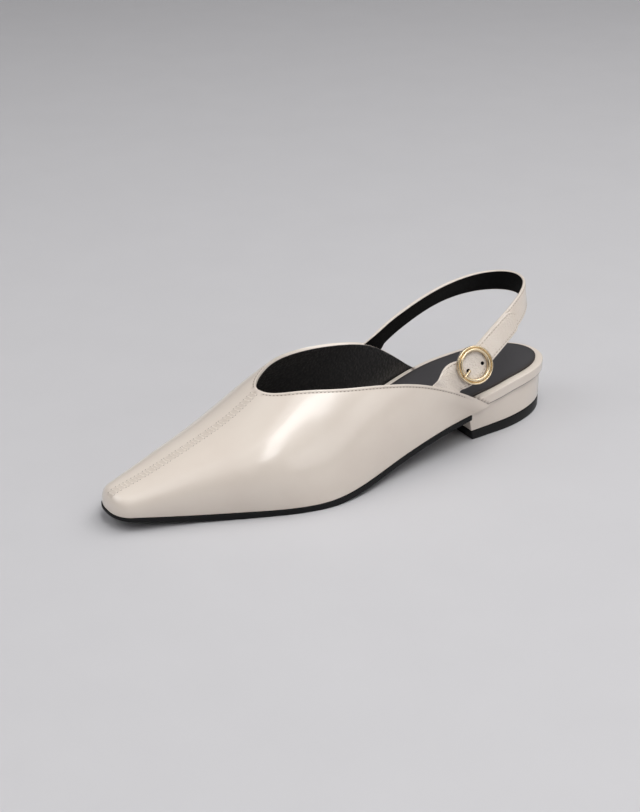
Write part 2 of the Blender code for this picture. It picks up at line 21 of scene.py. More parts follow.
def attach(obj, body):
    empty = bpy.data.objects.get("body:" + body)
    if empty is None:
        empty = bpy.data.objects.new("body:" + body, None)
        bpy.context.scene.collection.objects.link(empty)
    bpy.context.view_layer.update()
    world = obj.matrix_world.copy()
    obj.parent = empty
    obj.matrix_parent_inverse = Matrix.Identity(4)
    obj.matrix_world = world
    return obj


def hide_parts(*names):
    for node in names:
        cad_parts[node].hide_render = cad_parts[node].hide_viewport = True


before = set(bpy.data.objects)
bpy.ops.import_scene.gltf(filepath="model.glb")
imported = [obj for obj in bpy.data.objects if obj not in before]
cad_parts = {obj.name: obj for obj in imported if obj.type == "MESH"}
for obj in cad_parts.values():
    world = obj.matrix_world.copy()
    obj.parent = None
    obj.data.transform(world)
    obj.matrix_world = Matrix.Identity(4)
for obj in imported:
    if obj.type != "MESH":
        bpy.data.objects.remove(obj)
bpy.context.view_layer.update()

MM = 0.001
GAP = 0.3
WELD = 0.0005
CRISP = 0.7
LOG = logging.getLogger("slingback_pump")

Array = np.ndarray
Rows = Sequence[tuple[float, ...]]
Mesh = bmesh.types.BMesh
Socket = bpy.types.NodeSocket

SECTION_COLUMNS = ("x", "seat_z", "lateral", "medial", "crown_y", "crown_z",
                   "lateral_bulge", "medial_bulge", "lateral_power", "medial_power")
SECTIONS = (
    (0.0, 21.0, 24.5, 22.5, 2.0, 75.0, 0.0, 1.0, 0.80, 0.70),
    (30.0, 20.8, 25.6, 22.7, 2.5, 75.0, 0.0, 1.0, 0.80, 0.70),
    (45.0, 20.4, 29.0, 23.0, 3.0, 74.5, 0.0, 1.0, 0.80, 0.70),
    (62.0, 19.6, 31.0, 22.4, 3.5, 73.5, 0.3, 1.5, 0.85, 0.65),
    (80.0, 17.6, 32.6, 20.0, 4.0, 71.5, 0.6, 3.0, 0.90, 0.57),
    (100.0, 14.0, 34.2, 18.0, 3.0, 69.0, 1.0, 4.0, 0.95, 0.54),
    (120.0, 9.8, 36.9, 20.4, 1.0, 66.4, 1.2, 3.5, 1.00, 0.60),
    (140.0, 5.7, 40.0, 26.8, -1.5, 62.2, 1.0, 2.5, 0.98, 0.72),
    (157.0, 3.6, 40.6, 32.6, -2.8, 57.0, 0.0, 2.0, 1.10, 0.84),
    (172.0, 3.2, 37.5, 35.8, -2.8, 48.8, 2.0, 2.0, 1.06, 0.93),
    (185.0, 3.3, 32.6, 35.4, -2.4, 41.0, 4.0, 2.0, 0.90, 0.93),
    (202.0, 3.8, 25.2, 30.4, -2.1, 33.7, 4.0, 2.0, 0.86, 0.88),
    (218.0, 4.6, 18.6, 25.0, -2.2, 28.0, 2.6, 2.6, 0.76, 0.83),
    (234.0, 6.1, 12.8, 20.0, -2.6, 22.6, 2.0, 2.6, 0.74, 0.80),
    (248.0, 7.9, 8.4, 16.2, -3.2, 18.6, 1.0, 1.6, 0.76, 0.80),
    (255.0, 8.8, 6.4, 14.4, -3.6, 16.8, 0.5, 0.8, 0.78, 0.80),
)

# Topline rows give x and z
LATERAL_TOPLINE = (
    (55.0, 21.0), (63.0, 26.6), (72.0, 32.4), (82.0, 37.8), (92.0, 42.3), (103.0, 46.0),
    (117.0, 49.0), (131.0, 51.0), (146.0, 51.8), (160.0, 51.2), (173.0, 48.6),
)
MEDIAL_TOPLINE = (
    (60.0, 20.5), (67.0, 24.6), (76.0, 32.0), (86.0, 40.0), (94.0, 45.2), (103.0, 49.0),
    (118.0, 52.6), (131.0, 54.2), (145.0, 54.7), (159.0, 53.4), (173.0, 48.4),
)

# Thickness rows give x and millimetres
SOLE_THICKNESS = ((66.0, 2.7), (110.0, 3.0), (150.0, 3.4), (195.0, 3.4), (225.0, 2.7), (255.5, 1.6))
FOOTBED_THICKNESS = ((0.0, 5.4), (60.0, 5.4), (90.0, 4.6), (130.0, 3.0), (170.0, 2.4), (255.0, 2.2))

# Tucked strap rows give x and z, and free rows x, y, z and the lean over the heel in degrees
SLING_TUCK = ((114.0, 33.0), (104.0, 38.4), (94.0, 44.2))
SLING_FREE = (
    (84.0, -20.6, 49.2, 10.0),
    (71.0, -21.4, 54.8, 15.0),
    (54.5, -21.6, 60.4, 17.0),
    (38.0, -21.4, 63.2, 15.0),
    (24.0, -18.6, 64.4, 10.0),
    (15.2, -11.4, 65.6, 4.0),
    (12.4, -3.6, 66.2, 2.0),
    (14.0, 4.2, 66.0, 5.0),
    (20.4, 12.0, 64.8, 13.0),
    (32.8, 20.0, 61.8, 22.0),
    (46.8, 25.2, 56.6, 26.0),
    (57.8, 27.4, 50.6, 26.0),
    (65.9, 28.2, 45.7, 25.0),
)
BILLET_FREE = ((76.0, 28.6, 42.0, 18.0),)
BILLET_TUCK = ((86.0, 36.0), (95.0, 30.2), (103.0, 25.4))


class Side(Enum):
    """The two sides of the shoe, with the sign of y on each."""

    LATERAL = 1
    MEDIAL = -1


class Curve:
    """Natural cubic through a short table of (position, value) rows."""

    def __init__(self, rows: Rows) -> None:
        """Solves the bends of the cubic.

        Args:
            rows: positions in rising order, each with its value.
        """
        self.at = np.array([row[0] for row in rows], float)
        self.values = np.array([row[1] for row in rows], float)
        self.step = np.diff(self.at)
        count = len(self.at)
        matrix = np.eye(count)
        right = np.zeros(count)
        slope = np.diff(self.values) / self.step
        for i in range(1, count - 1):
            matrix[i, i - 1:i + 2] = self.step[i - 1], 2.0 * (self.step[i - 1] + self.step[i]), self.step[i]
            right[i] = 6.0 * (slope[i] - slope[i - 1])
        self.bend = np.linalg.solve(matrix, right)

    def __call__(self, position: Array | float) -> Array:
        """Reads the curve.

        Args:
            position: one position or an array of them, held to the table's ends.

        Returns:
            The value at each position.
        """
        position = np.clip(position, self.at[0], self.at[-1])
        i = np.clip(np.searchsorted(self.at, position) - 1, 0, len(self.step) - 1)
        a = (self.at[i + 1] - position) / self.step[i]
        b = 1.0 - a
        cubic = ((a ** 3 - a) * self.bend[i] + (b ** 3 - b) * self.bend[i + 1]) * self.step[i] ** 2 / 6.0
        return a * self.values[i] + b * self.values[i + 1] + cubic


def unit(vectors: Array) -> Array:
    """Gives each vector of an array a length of one."""
    return vectors / np.maximum(np.linalg.norm(vectors, axis=-1, keepdims=True), 1e-9)


@dataclass
class Last:
    """The form the shoe is pulled over: outlines, walls and topline of the upper."""

    length: float = 255.0
    sole_proud: float = 0.4
    throat_x: float = 172.3
    lateral_tip_x: float = 55.0
    medial_tip_x: float = 60.0
    toe_round: float = 7.5
    toe_power: float = 2.5
    crown_round: float = 5.5
    section: dict[str, Curve] = field(init=False)
    topline: dict[Side, Curve] = field(init=False)

    def __post_init__(self) -> None:
        """Makes a curve of every column of the tables."""
        self.section = {name: Curve([(row[0], row[k]) for row in SECTIONS])
                        for k, name in enumerate(SECTION_COLUMNS) if k}
        self.topline = {Side.LATERAL: Curve(LATERAL_TOPLINE), Side.MEDIAL: Curve(MEDIAL_TOPLINE)}

    def shift(self) -> Vector:
        """Moves the shoe's own axes to the middle of the frame."""
        middle = (self.feather(Side.LATERAL, 153.0) + self.feather(Side.MEDIAL, 178.0)) / 2.0
        return Vector((-(self.length + self.sole_proud) / 2.0, -float(middle), 0.0))

    def seat(self, x: Array | float) -> Array:
        """Height of the lasted bottom's edge at x."""
        return self.section["seat_z"](x)

    def tip(self, side: Side) -> float:
        """Where the wing of one side ends at the heel."""
        return self.lateral_tip_x if side is Side.LATERAL else self.medial_tip_x

    def end_cap(self, x: Array, start: float, end: float, start_round: float, end_round: float) -> Array:
        """Share of the half width left at x, so both ends close round.

        Args:
            x: positions along the shoe.
            start: the back end.
            end: the front end.
            start_round: length of the rounding at the back, or 0 for none.
            end_round: length of the rounding at the front, or 0 for none.

        Returns:
            A share from 0 to 1 for each position.
        """
        share = np.ones_like(np.asarray(x, float))
        if start_round:
            u = np.clip(1.0 - (x - start) / start_round, 0.0, 1.0)
            share = share * np.sqrt(1.0 - u * u)
        if end_round:
            u = np.clip(1.0 - (end - x) / end_round, 0.0, 1.0)
            share = share * (1.0 - u ** self.toe_power) ** (1.0 / self.toe_power)
        return share

    def feather(self, side: Side, x: Array | float, inset: float = 0.0) -> Array:
        """Outline of the lasted bottom on one side, before its ends are rounded."""
        return side.value * (self.section[side.name.lower()](x) - inset)

    def wall(self, side: Side, x: Array, rise: Array) -> Array:
        """Outer face of the upper.

        Args:
            side: which half.
            x: positions along the shoe.
            rise: 0 at the feather line to 1 on the crown.

        Returns:
            Points with x, y and z in the last axis.
        """
        name = side.name.lower()
        x = np.asarray(x, float)
        cap = self.end_cap(x, -1.0, self.length, 0.0, self.toe_round)
        crown_cap = self.end_cap(x, -1.0, self.length, 0.0, self.crown_round)
        crown_y = self.section["crown_y"](x)
        seat = self.seat(x)
        height = (self.section["crown_z"](x) - seat) * crown_cap
        angle = rise * math.pi / 2.0
        narrowing = np.maximum(0.0, np.cos(angle)) ** self.section[name + "_power"](x)
        across = (self.feather(side, x) - crown_y) * narrowing
        across = across + side.value * self.section[name + "_bulge"](x) * np.sin(2.0 * angle)
        across, tall, along = np.broadcast_arrays(crown_y + across * cap, seat + height * np.sin(angle), x)
        return np.stack([along, across, tall], axis=-1)

    def rise_at(self, x: Array | float, z: Array | float) -> Array:
        """Rise on the wall where its height is z.

        Args:
            x: positions along the shoe.
            z: heights over the floor.

        Returns:
            0 at the feather line to 1 on the crown.
        """
        seat = self.seat(x)
        share = (z - seat) / (self.section["crown_z"](x) - seat)
        return np.arcsin(np.clip(share, 0.0, 1.0)) * 2.0 / math.pi

    def top_rise(self, side: Side, x: Array) -> Array:
        """Rise of the upper's edge: the crown ahead of the throat, the topline behind it."""
        return np.where(x >= self.throat_x, 1.0, self.rise_at(x, self.topline[side](x)))

    def wall_frame(self, side: Side, x: Array | float, z: Array | float) -> tuple[Array, Array, Array]:
        """Places on the outer wall.

        Args:
            side: which half.
            x: positions along the shoe.
            z: heights of the places.

        Returns:
            The points, their upward directions along the wall and their inward normals.
        """
        rise = self.rise_at(x, z)
        point = self.wall(side, x, rise)
        up = unit(self.wall(side, x, rise + 0.01) - self.wall(side, x, rise - 0.01))
        along = unit(self.wall(side, x + 0.5, self.rise_at(x + 0.5, z))
                     - self.wall(side, x - 0.5, self.rise_at(x - 0.5, z)))
        inward = unit(np.cross(along, up))
        return point, up, np.where(inward[..., 1:2] * side.value > 0.0, -inward, inward)

    def plan(self, u: Array, v: Array, start: float, end: float, inset: float,
             start_round: float, end_round: float) -> tuple[Array, Array]:
        """Spreads a square sheet over the outline of the bottom.

        Args:
            u: 0 at the back to 1 at the toe.
            v: -1 on the medial edge to 1 on the lateral edge.
            start: the back end.
            end: the front end.
            inset: how far the outline is drawn in.
            start_round: rounding at the back, or 0 for a straight edge.
            end_round: rounding at the front.

        Returns:
            The x and y of each point.
        """
        heel_corner = math.sqrt(0.5)
        toe_corner = 0.5 ** (1.0 / self.toe_power)
        share = np.abs(v)
        first = start + start_round * (1.0 - np.sqrt(1.0 - (share * heel_corner) ** 2))
        power = self.toe_power
        last = end - end_round * (1.0 - (1.0 - (share * toe_corner) ** power) ** (1.0 / power))
        x = first + (last - first) * u
        cap = self.end_cap(x, start, end, start_round, end_round)
        cap = np.maximum(cap, np.where(x > (start + end) / 2.0, toe_corner, heel_corner))
        outer = self.feather(Side.LATERAL, x, inset)
        inner = self.feather(Side.MEDIAL, x, inset)
        return x, (outer + inner) / 2.0 + v * (outer - inner) / 2.0 * cap


LAST = Last()
SOLE_THICK = Curve(SOLE_THICKNESS)
FOOTBED_THICK = Curve(FOOTBED_THICKNESS)


def sole_top(x: Array | float) -> Array:
    """Top face of the outsole, just under the lasted bottom."""
    return LAST.seat(x) - GAP


def footbed_top(x: Array | float) -> Array:
    """Top face of the footbed."""
    return LAST.seat(x) + FOOTBED_THICK(x)


def linear(code: str) -> tuple[float, float, float, float]:
    """Turns an sRGB hex value into linear RGBA.

    Args:
        code: a hash mark and six hex digits.

    Returns:
        Red, green, blue and a full alpha.
    """
    channels = [int(code[i:i + 2], 16) / 255.0 for i in (1, 3, 5)]
    values = [c / 12.92 if c <= 0.04045 else ((c + 0.055) / 1.055) ** 2.4 for c in channels]
    return values[0], values[1], values[2], 1.0


def per_mm(size: float) -> float:
    """Texture scale that repeats about once in a size given in millimetres."""
    return 1.0 / (size * MM)


def add_node(tree: bpy.types.NodeTree, kind: str, values: dict[str | int, object] | None = None,
             links: dict[str | int, Socket] | None = None) -> bpy.types.Node:
    """Adds a shader node.

    Args:
        tree: the material's node tree.
        kind: the node's type without its ShaderNode start.
        values: settings and input values by name or input number.
        links: sockets to join to inputs by name or input number.

    Returns:
        The new node.
    """
    node = tree.nodes.new("ShaderNode" + kind)
    for key, value in (values or {}).items():
        if isinstance(key, str) and hasattr(node, key):
            setattr(node, key, value)
        else:
            node.inputs[key].default_value = value
    for key, socket in (links or {}).items():
        tree.links.new(socket, node.inputs[key])
    return node


def new_tree(name: str) -> tuple[bpy.types.Material, bpy.types.NodeTree, bpy.types.Node, Socket]:
    """Starts a material.

    Args:
        name: the material's name.

    Returns:
        The material, its node tree, its shader and its Object coordinates.
    """
    material = bpy.data.materials.new(name)
    material.use_nodes = True
    tree = material.node_tree
    where = add_node(tree, "TexCoord").outputs["Object"]
    return material, tree, tree.nodes["Principled BSDF"], where


@dataclass(frozen=True)
class GlazedLeather:
    """Smooth calf leather with a glazed top coat: a soft broad gloss over a fine grain."""

    name: str
    colour: str = "#E4D9CD"
    shade: str = "#E0D4C8"
    # Colour of the painted shade laid in grooves, under seams, in hollows and along joints.
    painted_shade: str = "#8F7C6C"
    grain_mm: float = 0.7
    grain_depth_mm: float = 0.004
    wrinkle_mm: float = 1.5
    wrinkle_depth_mm: float = 0.0
    mottle_mm: float = 22.0
    polish_mm: float = 7.0
    roughness: float = 0.32
    coat: float = 0.7
    coat_roughness: float = 0.15

    def material(self) -> bpy.types.Material:
        """Builds the node tree.

        Returns:
            The material, mixed towards its painted shade colour where the mesh attribute seam_shade says so.
        """
        material, tree, shader, where = new_tree(self.name)
        mottle = add_node(tree, "TexNoise", {"Scale": per_mm(self.mottle_mm), "Detail": 3.0},
                          {"Vector": where})
        patch = add_node(tree, "MapRange", {"From Min": 0.35, "From Max": 0.7}, {"Value": mottle.outputs[0]})
        skin = add_node(tree, "Mix", {"data_type": "RGBA", 6: linear(self.colour), 7: linear(self.shade)},
                        {0: patch.outputs[0]})
        seam = add_node(tree, "Attribute", {"attribute_name": "seam_shade"})
        # Painted shade: the skin is darkened towards the painted shade colour where seam_shade marks it.
        wear_and_shade = add_node(tree, "Mix", {"data_type": "RGBA", 7: linear(self.painted_shade)},
                        {0: seam.outputs["Fac"], 6: skin.outputs[2]})
        grain = add_node(tree, "TexNoise", {"Scale": per_mm(self.grain_mm), "Detail": 4.0, "Roughness": 0.6},
                         {"Vector": where})
        relief = add_node(tree, "Bump", {"Strength": 1.0, "Distance": self.grain_depth_mm * MM},
                          {"Height": grain.outputs[0]})
        if self.wrinkle_depth_mm:
            lines = add_node(tree, "TexVoronoi", {"Scale": per_mm(self.wrinkle_mm),
                                                  "feature": "DISTANCE_TO_EDGE"}, {"Vector": where})
            ridge = add_node(tree, "MapRange", {"From Max": 0.25}, {"Value": lines.outputs["Distance"]})
            relief = add_node(tree, "Bump", {"Strength": 1.0, "Distance": self.wrinkle_depth_mm * MM},
                              {"Height": ridge.outputs[0], "Normal": relief.outputs[0]})
        polish = add_node(tree, "TexNoise", {"Scale": per_mm(self.polish_mm), "Detail": 2.0},
                          {"Vector": where})
        rough = add_node(tree, "MapRange", {"From Min": 0.3, "From Max": 0.7, "To Min": self.roughness - 0.03,
                                            "To Max": self.roughness + 0.04}, {"Value": polish.outputs[0]})
        shader.inputs["IOR"].default_value = 1.5
        shader.inputs["Coat Weight"].default_value = self.coat
        shader.inputs["Coat Roughness"].default_value = self.coat_roughness
        tree.links.new(wear_and_shade.outputs[2], shader.inputs["Base Color"])
        tree.links.new(rough.outputs[0], shader.inputs["Roughness"])
        tree.links.new(relief.outputs[0], shader.inputs["Normal"])
        return material


@dataclass(frozen=True)
class PebbledLining:
    """Black drum-milled lining leather: rounded pebbles that each catch a little light, painted lighter on
    their crowns as highlight and darker between them as shade.
    """

    name: str = "black_pebbled_lining"
    colour: str = "#262423"
    valley_shade: str = "#0E0D0D"
    pebble_mm: float = 1.3
    depth_mm: float = 0.28
    valley_roughness: float = 0.55
    crown_roughness: float = 0.32
    shine: float = 0.9

    def material(self) -> bpy.types.Material:
        """Builds the node tree.

        Returns:
            The material, glossier and painted lighter on the crowns of its pebbles than between them.
        """
        material, tree, shader, where = new_tree(self.name)
        cells = add_node(tree, "TexVoronoi", {"Scale": per_mm(self.pebble_mm), "feature": "SMOOTH_F1",
                                              "Smoothness": 0.35}, {"Vector": where})
        crown = add_node(tree, "MapRange", {"From Min": 0.05, "From Max": 0.75, "To Min": 1.0, "To Max": 0.0},
                         {"Value": cells.outputs["Distance"]})
        # Painted highlight on the pebbles' crowns and painted shade in the valleys between them.
        skin = add_node(tree, "Mix", {"data_type": "RGBA", 6: linear(self.valley_shade), 7: linear(self.colour)},
                        {0: crown.outputs[0]})
        relief = add_node(tree, "Bump", {"Strength": 0.8, "Distance": self.depth_mm * MM},
                          {"Height": crown.outputs[0]})
        gloss = add_node(tree, "MapRange", {"To Min": self.valley_roughness, "To Max": self.crown_roughness},
                         {"Value": crown.outputs[0]})
        shader.inputs["Specular IOR Level"].default_value = self.shine
        tree.links.new(skin.outputs[2], shader.inputs["Base Color"])
        tree.links.new(gloss.outputs[0], shader.inputs["Roughness"])
        tree.links.new(relief.outputs[0], shader.inputs["Normal"])
        return material


@dataclass(frozen=True)
class SockLeather:
    """Charcoal sheepskin sock: soft, nearly matt, with a faint worn bloom."""

    name: str = "charcoal_sock_leather"
    colour: str = "#343234"
    bloom: str = "#413F41"
    edge_tone: str = "#2A2422"
    bloom_mm: float = 16.0
    grain_mm: float = 0.8
    grain_depth_mm: float = 0.03
    roughness: float = 0.5
    bloom_roughness: float = 0.62

    def material(self) -> bpy.types.Material:
        """Builds the node tree.

        Returns:
            The material, darker and browner towards its edge where seam_shade says so.
        """
        material, tree, shader, where = new_tree(self.name)
        cloud = add_node(tree, "TexNoise", {"Scale": per_mm(self.bloom_mm), "Detail": 4.0}, {"Vector": where})
        skin = add_node(tree, "Mix", {"data_type": "RGBA", 6: linear(self.colour), 7: linear(self.bloom)},
                        {0: cloud.outputs[0]})
        seam = add_node(tree, "Attribute", {"attribute_name": "seam_shade"})
        edge = add_node(tree, "Mix", {"data_type": "RGBA", 7: linear(self.edge_tone)},
                        {0: seam.outputs["Fac"], 6: skin.outputs[2]})
        grain = add_node(tree, "TexNoise", {"Scale": per_mm(self.grain_mm), "Detail": 3.0}, {"Vector": where})
        relief = add_node(tree, "Bump", {"Strength": 1.0, "Distance": self.grain_depth_mm * MM},
                          {"Height": grain.outputs[0]})
        rough = add_node(tree, "MapRange", {"To Min": self.roughness, "To Max": self.bloom_roughness},
                         {"Value": cloud.outputs[0]})
        tree.links.new(edge.outputs[2], shader.inputs["Base Color"])
        tree.links.new(rough.outputs[0], shader.inputs["Roughness"])
        tree.links.new(relief.outputs[0], shader.inputs["Normal"])
        return material


@dataclass(frozen=True)
class MouldedRubber:
    """Black moulded rubber: matt, with a fine stipple and greyer worn spots."""

    name: str
    colour: str = "#0D0D0E"
    wear_and_shade: str = "#18191A"
    worn_mm: float = 9.0
    stipple_mm: float = 0.9
    stipple_depth_mm: float = 0.04
    roughness: float = 0.55
    shine: float = 0.2

    def material(self) -> bpy.types.Material:
        """Builds the node tree.

        Returns:
            The material, rougher where it is worn.
        """
        material, tree, shader, where = new_tree(self.name)
        cloud = add_node(tree, "TexNoise", {"Scale": per_mm(self.worn_mm), "Detail": 5.0}, {"Vector": where})
        skin = add_node(tree, "Mix", {"data_type": "RGBA", 6: linear(self.colour), 7: linear(self.wear_and_shade)},
                        {0: cloud.outputs[0]})
        grit = add_node(tree, "TexNoise", {"Scale": per_mm(self.stipple_mm), "Detail": 2.0},
                        {"Vector": where})
        relief = add_node(tree, "Bump", {"Strength": 1.0, "Distance": self.stipple_depth_mm * MM},
                          {"Height": grit.outputs[0]})
        rough = add_node(tree, "MapRange", {"To Min": self.roughness - 0.06, "To Max": self.roughness + 0.1},
                         {"Value": cloud.outputs[0]})
        shader.inputs["Specular IOR Level"].default_value = self.shine
        tree.links.new(skin.outputs[2], shader.inputs["Base Color"])
        tree.links.new(rough.outputs[0], shader.inputs["Roughness"])
        tree.links.new(relief.outputs[0], shader.inputs["Normal"])
        return material


@dataclass(frozen=True)
class PolishedBrass:
    """Gold-plated die-cast brass: warm mirror polish with faint buffing marks."""

    name: str
    colour: str = "#E6D7BD"
    deep: str = "#CFB993"
    tone_mm: float = 3.0
    marks_mm: float = 0.6
    roughness: float = 0.09

    def material(self) -> bpy.types.Material:
        """Builds the node tree.

        Returns:
            The material, a little duller along its buffing marks.
        """
        material, tree, shader, where = new_tree(self.name)
        tone = add_node(tree, "TexNoise", {"Scale": per_mm(self.tone_mm), "Detail": 3.0}, {"Vector": where})
        plate = add_node(tree, "Mix", {"data_type": "RGBA", 6: linear(self.colour), 7: linear(self.deep)},
                         {0: tone.outputs[0]})
        marks = add_node(tree, "TexNoise", {"Scale": per_mm(self.marks_mm), "Detail": 4.0}, {"Vector": where})
        rough = add_node(tree, "MapRange", {"To Min": self.roughness - 0.05, "To Max": self.roughness + 0.08},
                         {"Value": marks.outputs[0]})
        shader.inputs["Metallic"].default_value = 1.0
        tree.links.new(plate.outputs[2], shader.inputs["Base Color"])
        tree.links.new(rough.outputs[0], shader.inputs["Roughness"])
        return material


@dataclass(frozen=True)
class WaxedThread:
    """Waxed polyester thread: a small sheen, with painted shade for the hollows in its twisted lay."""

    name: str
    colour: str
    hollow_shade: str
    lay_mm: float = 0.5
    roughness: float = 0.5

    def material(self) -> bpy.types.Material:
        """Builds the node tree.

        Returns:
            The material, streaked at the scale of the thread's lay.
        """
        material, tree, shader, where = new_tree(self.name)
        twist = add_node(tree, "TexNoise", {"Scale": per_mm(self.lay_mm), "Detail": 2.0}, {"Vector": where})
        # The darker hollow colour is painted shade for the hollows of the lay, spread as random noise.
        strand = add_node(tree, "Mix", {"data_type": "RGBA", 6: linear(self.colour), 7: linear(self.hollow_shade)},
                          {0: twist.outputs[0]})
        shader.inputs["Roughness"].default_value = self.roughness
        tree.links.new(strand.outputs[2], shader.inputs["Base Color"])
        return material


@dataclass(frozen=True)
class MattPaper:
    """Pale grey background paper: matt, with a faint even tooth."""

    name: str = "pale_grey_paper"
    colour: str = "#C8C7C9"
    tooth: str = "#C4C3C5"
    cloud_mm: float = 40.0
    roughness: float = 0.75

    def material(self) -> bpy.types.Material:
        """Builds the node tree.

        Returns:
            The material, clouded very slightly at hand size.
        """
        material, tree, shader, where = new_tree(self.name)
        fibre = add_node(tree, "TexNoise", {"Scale": per_mm(self.cloud_mm), "Detail": 3.0}, {"Vector": where})
        sheet = add_node(tree, "Mix", {"data_type": "RGBA", 6: linear(self.colour), 7: linear(self.tooth)},
                         {0: fibre.outputs[0]})
        shader.inputs["Roughness"].default_value = self.roughness
        tree.links.new(sheet.outputs[2], shader.inputs["Base Color"])
        return material


def finish_piece(name: str, bm: Mesh, materials: Sequence[bpy.types.Material], node: str = "",
                 closed: bool = True, sharp_deg: float = 40.0) -> bpy.types.Object:
    """Welds a mesh in millimetres, moves it to the frame and makes it ride on the shoe.

    Args:
        name: the piece's name.
        bm: its mesh in the shoe's own axes.
        materials: its finishes in slot order.
        node: the CAD node it stands for, if any.
        closed: whether its normals are recalculated as a closed solid's.
        sharp_deg: edges that turn more than this stay crisp.

    Returns:
        The new object.
    """
    bmesh.ops.remove_doubles(bm, verts=bm.verts, dist=WELD)
    bmesh.ops.dissolve_degenerate(bm, dist=0.0001, edges=bm.edges)
    if closed:
        bm.normal_update()
        bmesh.ops.recalc_face_normals(bm, faces=bm.faces)
    bmesh.ops.translate(bm, vec=LAST.shift(), verts=bm.verts)
    bmesh.ops.scale(bm, vec=(MM, MM, MM), verts=bm.verts)
    mesh = bpy.data.meshes.new(name)
    bm.to_mesh(mesh)
    bm.free()
    mesh.shade_smooth()
    mesh.set_sharp_from_angle(angle=math.radians(sharp_deg))
    for material in materials:
        mesh.materials.append(material)
    piece = bpy.data.objects.new(name, mesh)
    bpy.context.scene.collection.objects.link(piece)
    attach(piece, "root")
    if node:
        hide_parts(node)
    LOG.info("%s: %d faces", name, len(mesh.polygons))
    return piece


def carve(piece: bpy.types.Object, bm: Mesh, inside: bpy.types.Material) -> None:
    """Cuts a closed shape out of a finished piece.

    Args:
        piece: the piece to cut.
        bm: the cutter's mesh in the shoe's own axes.
        inside: the finish of the cut faces.
    """
    bm.normal_update()
    bmesh.ops.recalc_face_normals(bm, faces=bm.faces)
    bmesh.ops.translate(bm, vec=LAST.shift(), verts=bm.verts)
    bmesh.ops.scale(bm, vec=(MM, MM, MM), verts=bm.verts)
    mesh = bpy.data.meshes.new("cutter")
    bm.to_mesh(mesh)
    bm.free()
    mesh.materials.append(inside)
    cutter = bpy.data.objects.new("cutter", mesh)
    bpy.context.scene.collection.objects.link(cutter)
    cut = piece.modifiers.new("cut", "BOOLEAN")
    cut.operation = "DIFFERENCE"
    cut.solver = "EXACT"
    cut.material_mode = "TRANSFER"
    cut.object = cutter
    graph = bpy.context.evaluated_depsgraph_get()
    graph.update()
    carved = bpy.data.meshes.new_from_object(piece.evaluated_get(graph))
    piece.modifiers.clear()
    old = piece.data
    piece.data = carved
    carved.name = piece.name
    bpy.data.meshes.remove(old)
    bpy.data.objects.remove(cutter, do_unlink=True)
    bpy.data.meshes.remove(mesh)


def plate(columns: int, rows: int, low: Callable[[Array, Array], Array],
          high: Callable[[Array, Array], Array]) -> Mesh:
    """Lays a sheet at a plate's lower face and extrudes it to the upper face.

    Args:
        columns: faces along the plate.
        rows: faces across it.
        low: gives the lower face's points for u from 0 to 1 and v from -1 to 1.
        high: gives the upper face's points.

    Returns:
        The closed mesh.
    """
    bm = bmesh.new()
    along = bm.verts.layers.float.new("along")
    across = bm.verts.layers.float.new("across")
    bmesh.ops.create_grid(bm, x_segments=columns, y_segments=rows, size=0.5)
    for vert in bm.verts:
        vert[along] = vert.co.x + 0.5
        vert[across] = vert.co.y * 2.0
    made = bmesh.ops.extrude_face_region(bm, geom=bm.faces[:])
    raised = {item for item in made["geom"] if isinstance(item, bmesh.types.BMVert)}
    for group, place in ((raised, high), (set(bm.verts) - raised, low)):
        verts = list(group)
        points = place(np.array([v[along] for v in verts]), np.array([v[across] for v in verts]))
        for vert, point in zip(verts, points):
            vert.co = point
    bm.verts.layers.float.remove(bm.verts.layers.float["along"])
    bm.verts.layers.float.remove(bm.verts.layers.float["across"])
    bmesh.ops.remove_doubles(bm, verts=bm.verts, dist=WELD)
    bmesh.ops.recalc_face_normals(bm, faces=bm.faces)
    return bm


def round_edges(bm: Mesh, width: float, segments: int, wanted: Callable[[bmesh.types.BMEdge], bool]) -> None:
    """Bevels the crisp edges that a test picks out.

    Args:
        bm: the mesh.
        width: the rounding's width.
        segments: faces in the rounding.
        wanted: says whether a crisp edge is rounded.
    """
    edges = [e for e in bm.edges if len(e.link_faces) == 2 and e.calc_face_angle(0.0) > CRISP and wanted(e)]
    bmesh.ops.bevel(bm, geom=edges, offset=width, offset_type="OFFSET", segments=segments, profile=0.5,
                    affect="EDGES", material=-1, clamp_overlap=True)


def sweep(places: Array, sides: Array, outs: Array, loops: Array, finish_of: Callable[[int], int],
          settle: Callable[[Array, Array], Array] | None = None) -> Mesh:
    """Runs a closed cross-section along a path and closes both ends.

    Args:
        places: middle points of the path.
        sides: the direction of the section's first axis at each point.
        outs: the direction of its second axis.
        loops: the section at each point, as (point, corner, 2) in millimetres.
        finish_of: gives a material slot for a section's corner number.
        settle: moves the swept points, given them and their distances along outs.

    Returns:
        The closed mesh.
    """
    count, corners = loops.shape[:2]
    points = places[:, None] + sides[:, None] * loops[:, :, :1] + outs[:, None] * loops[:, :, 1:]
    if settle:
        points = settle(points, loops[:, :, 1])
    bm = bmesh.new()
    bmesh.ops.create_grid(bm, x_segments=count - 1, y_segments=corners, size=0.5)
    for face in bm.faces:
        face.material_index = finish_of(int((face.calc_center_median().y + 0.5) * corners))
    for vert in bm.verts:
        i = round((vert.co.x + 0.5) * (count - 1))
        k = round((vert.co.y + 0.5) * corners) % corners
        vert.co = points[i, k]
    bmesh.ops.remove_doubles(bm, verts=bm.verts, dist=WELD)
    bmesh.ops.holes_fill(bm, edges=[e for e in bm.edges if e.is_boundary], sides=0)
    return bm


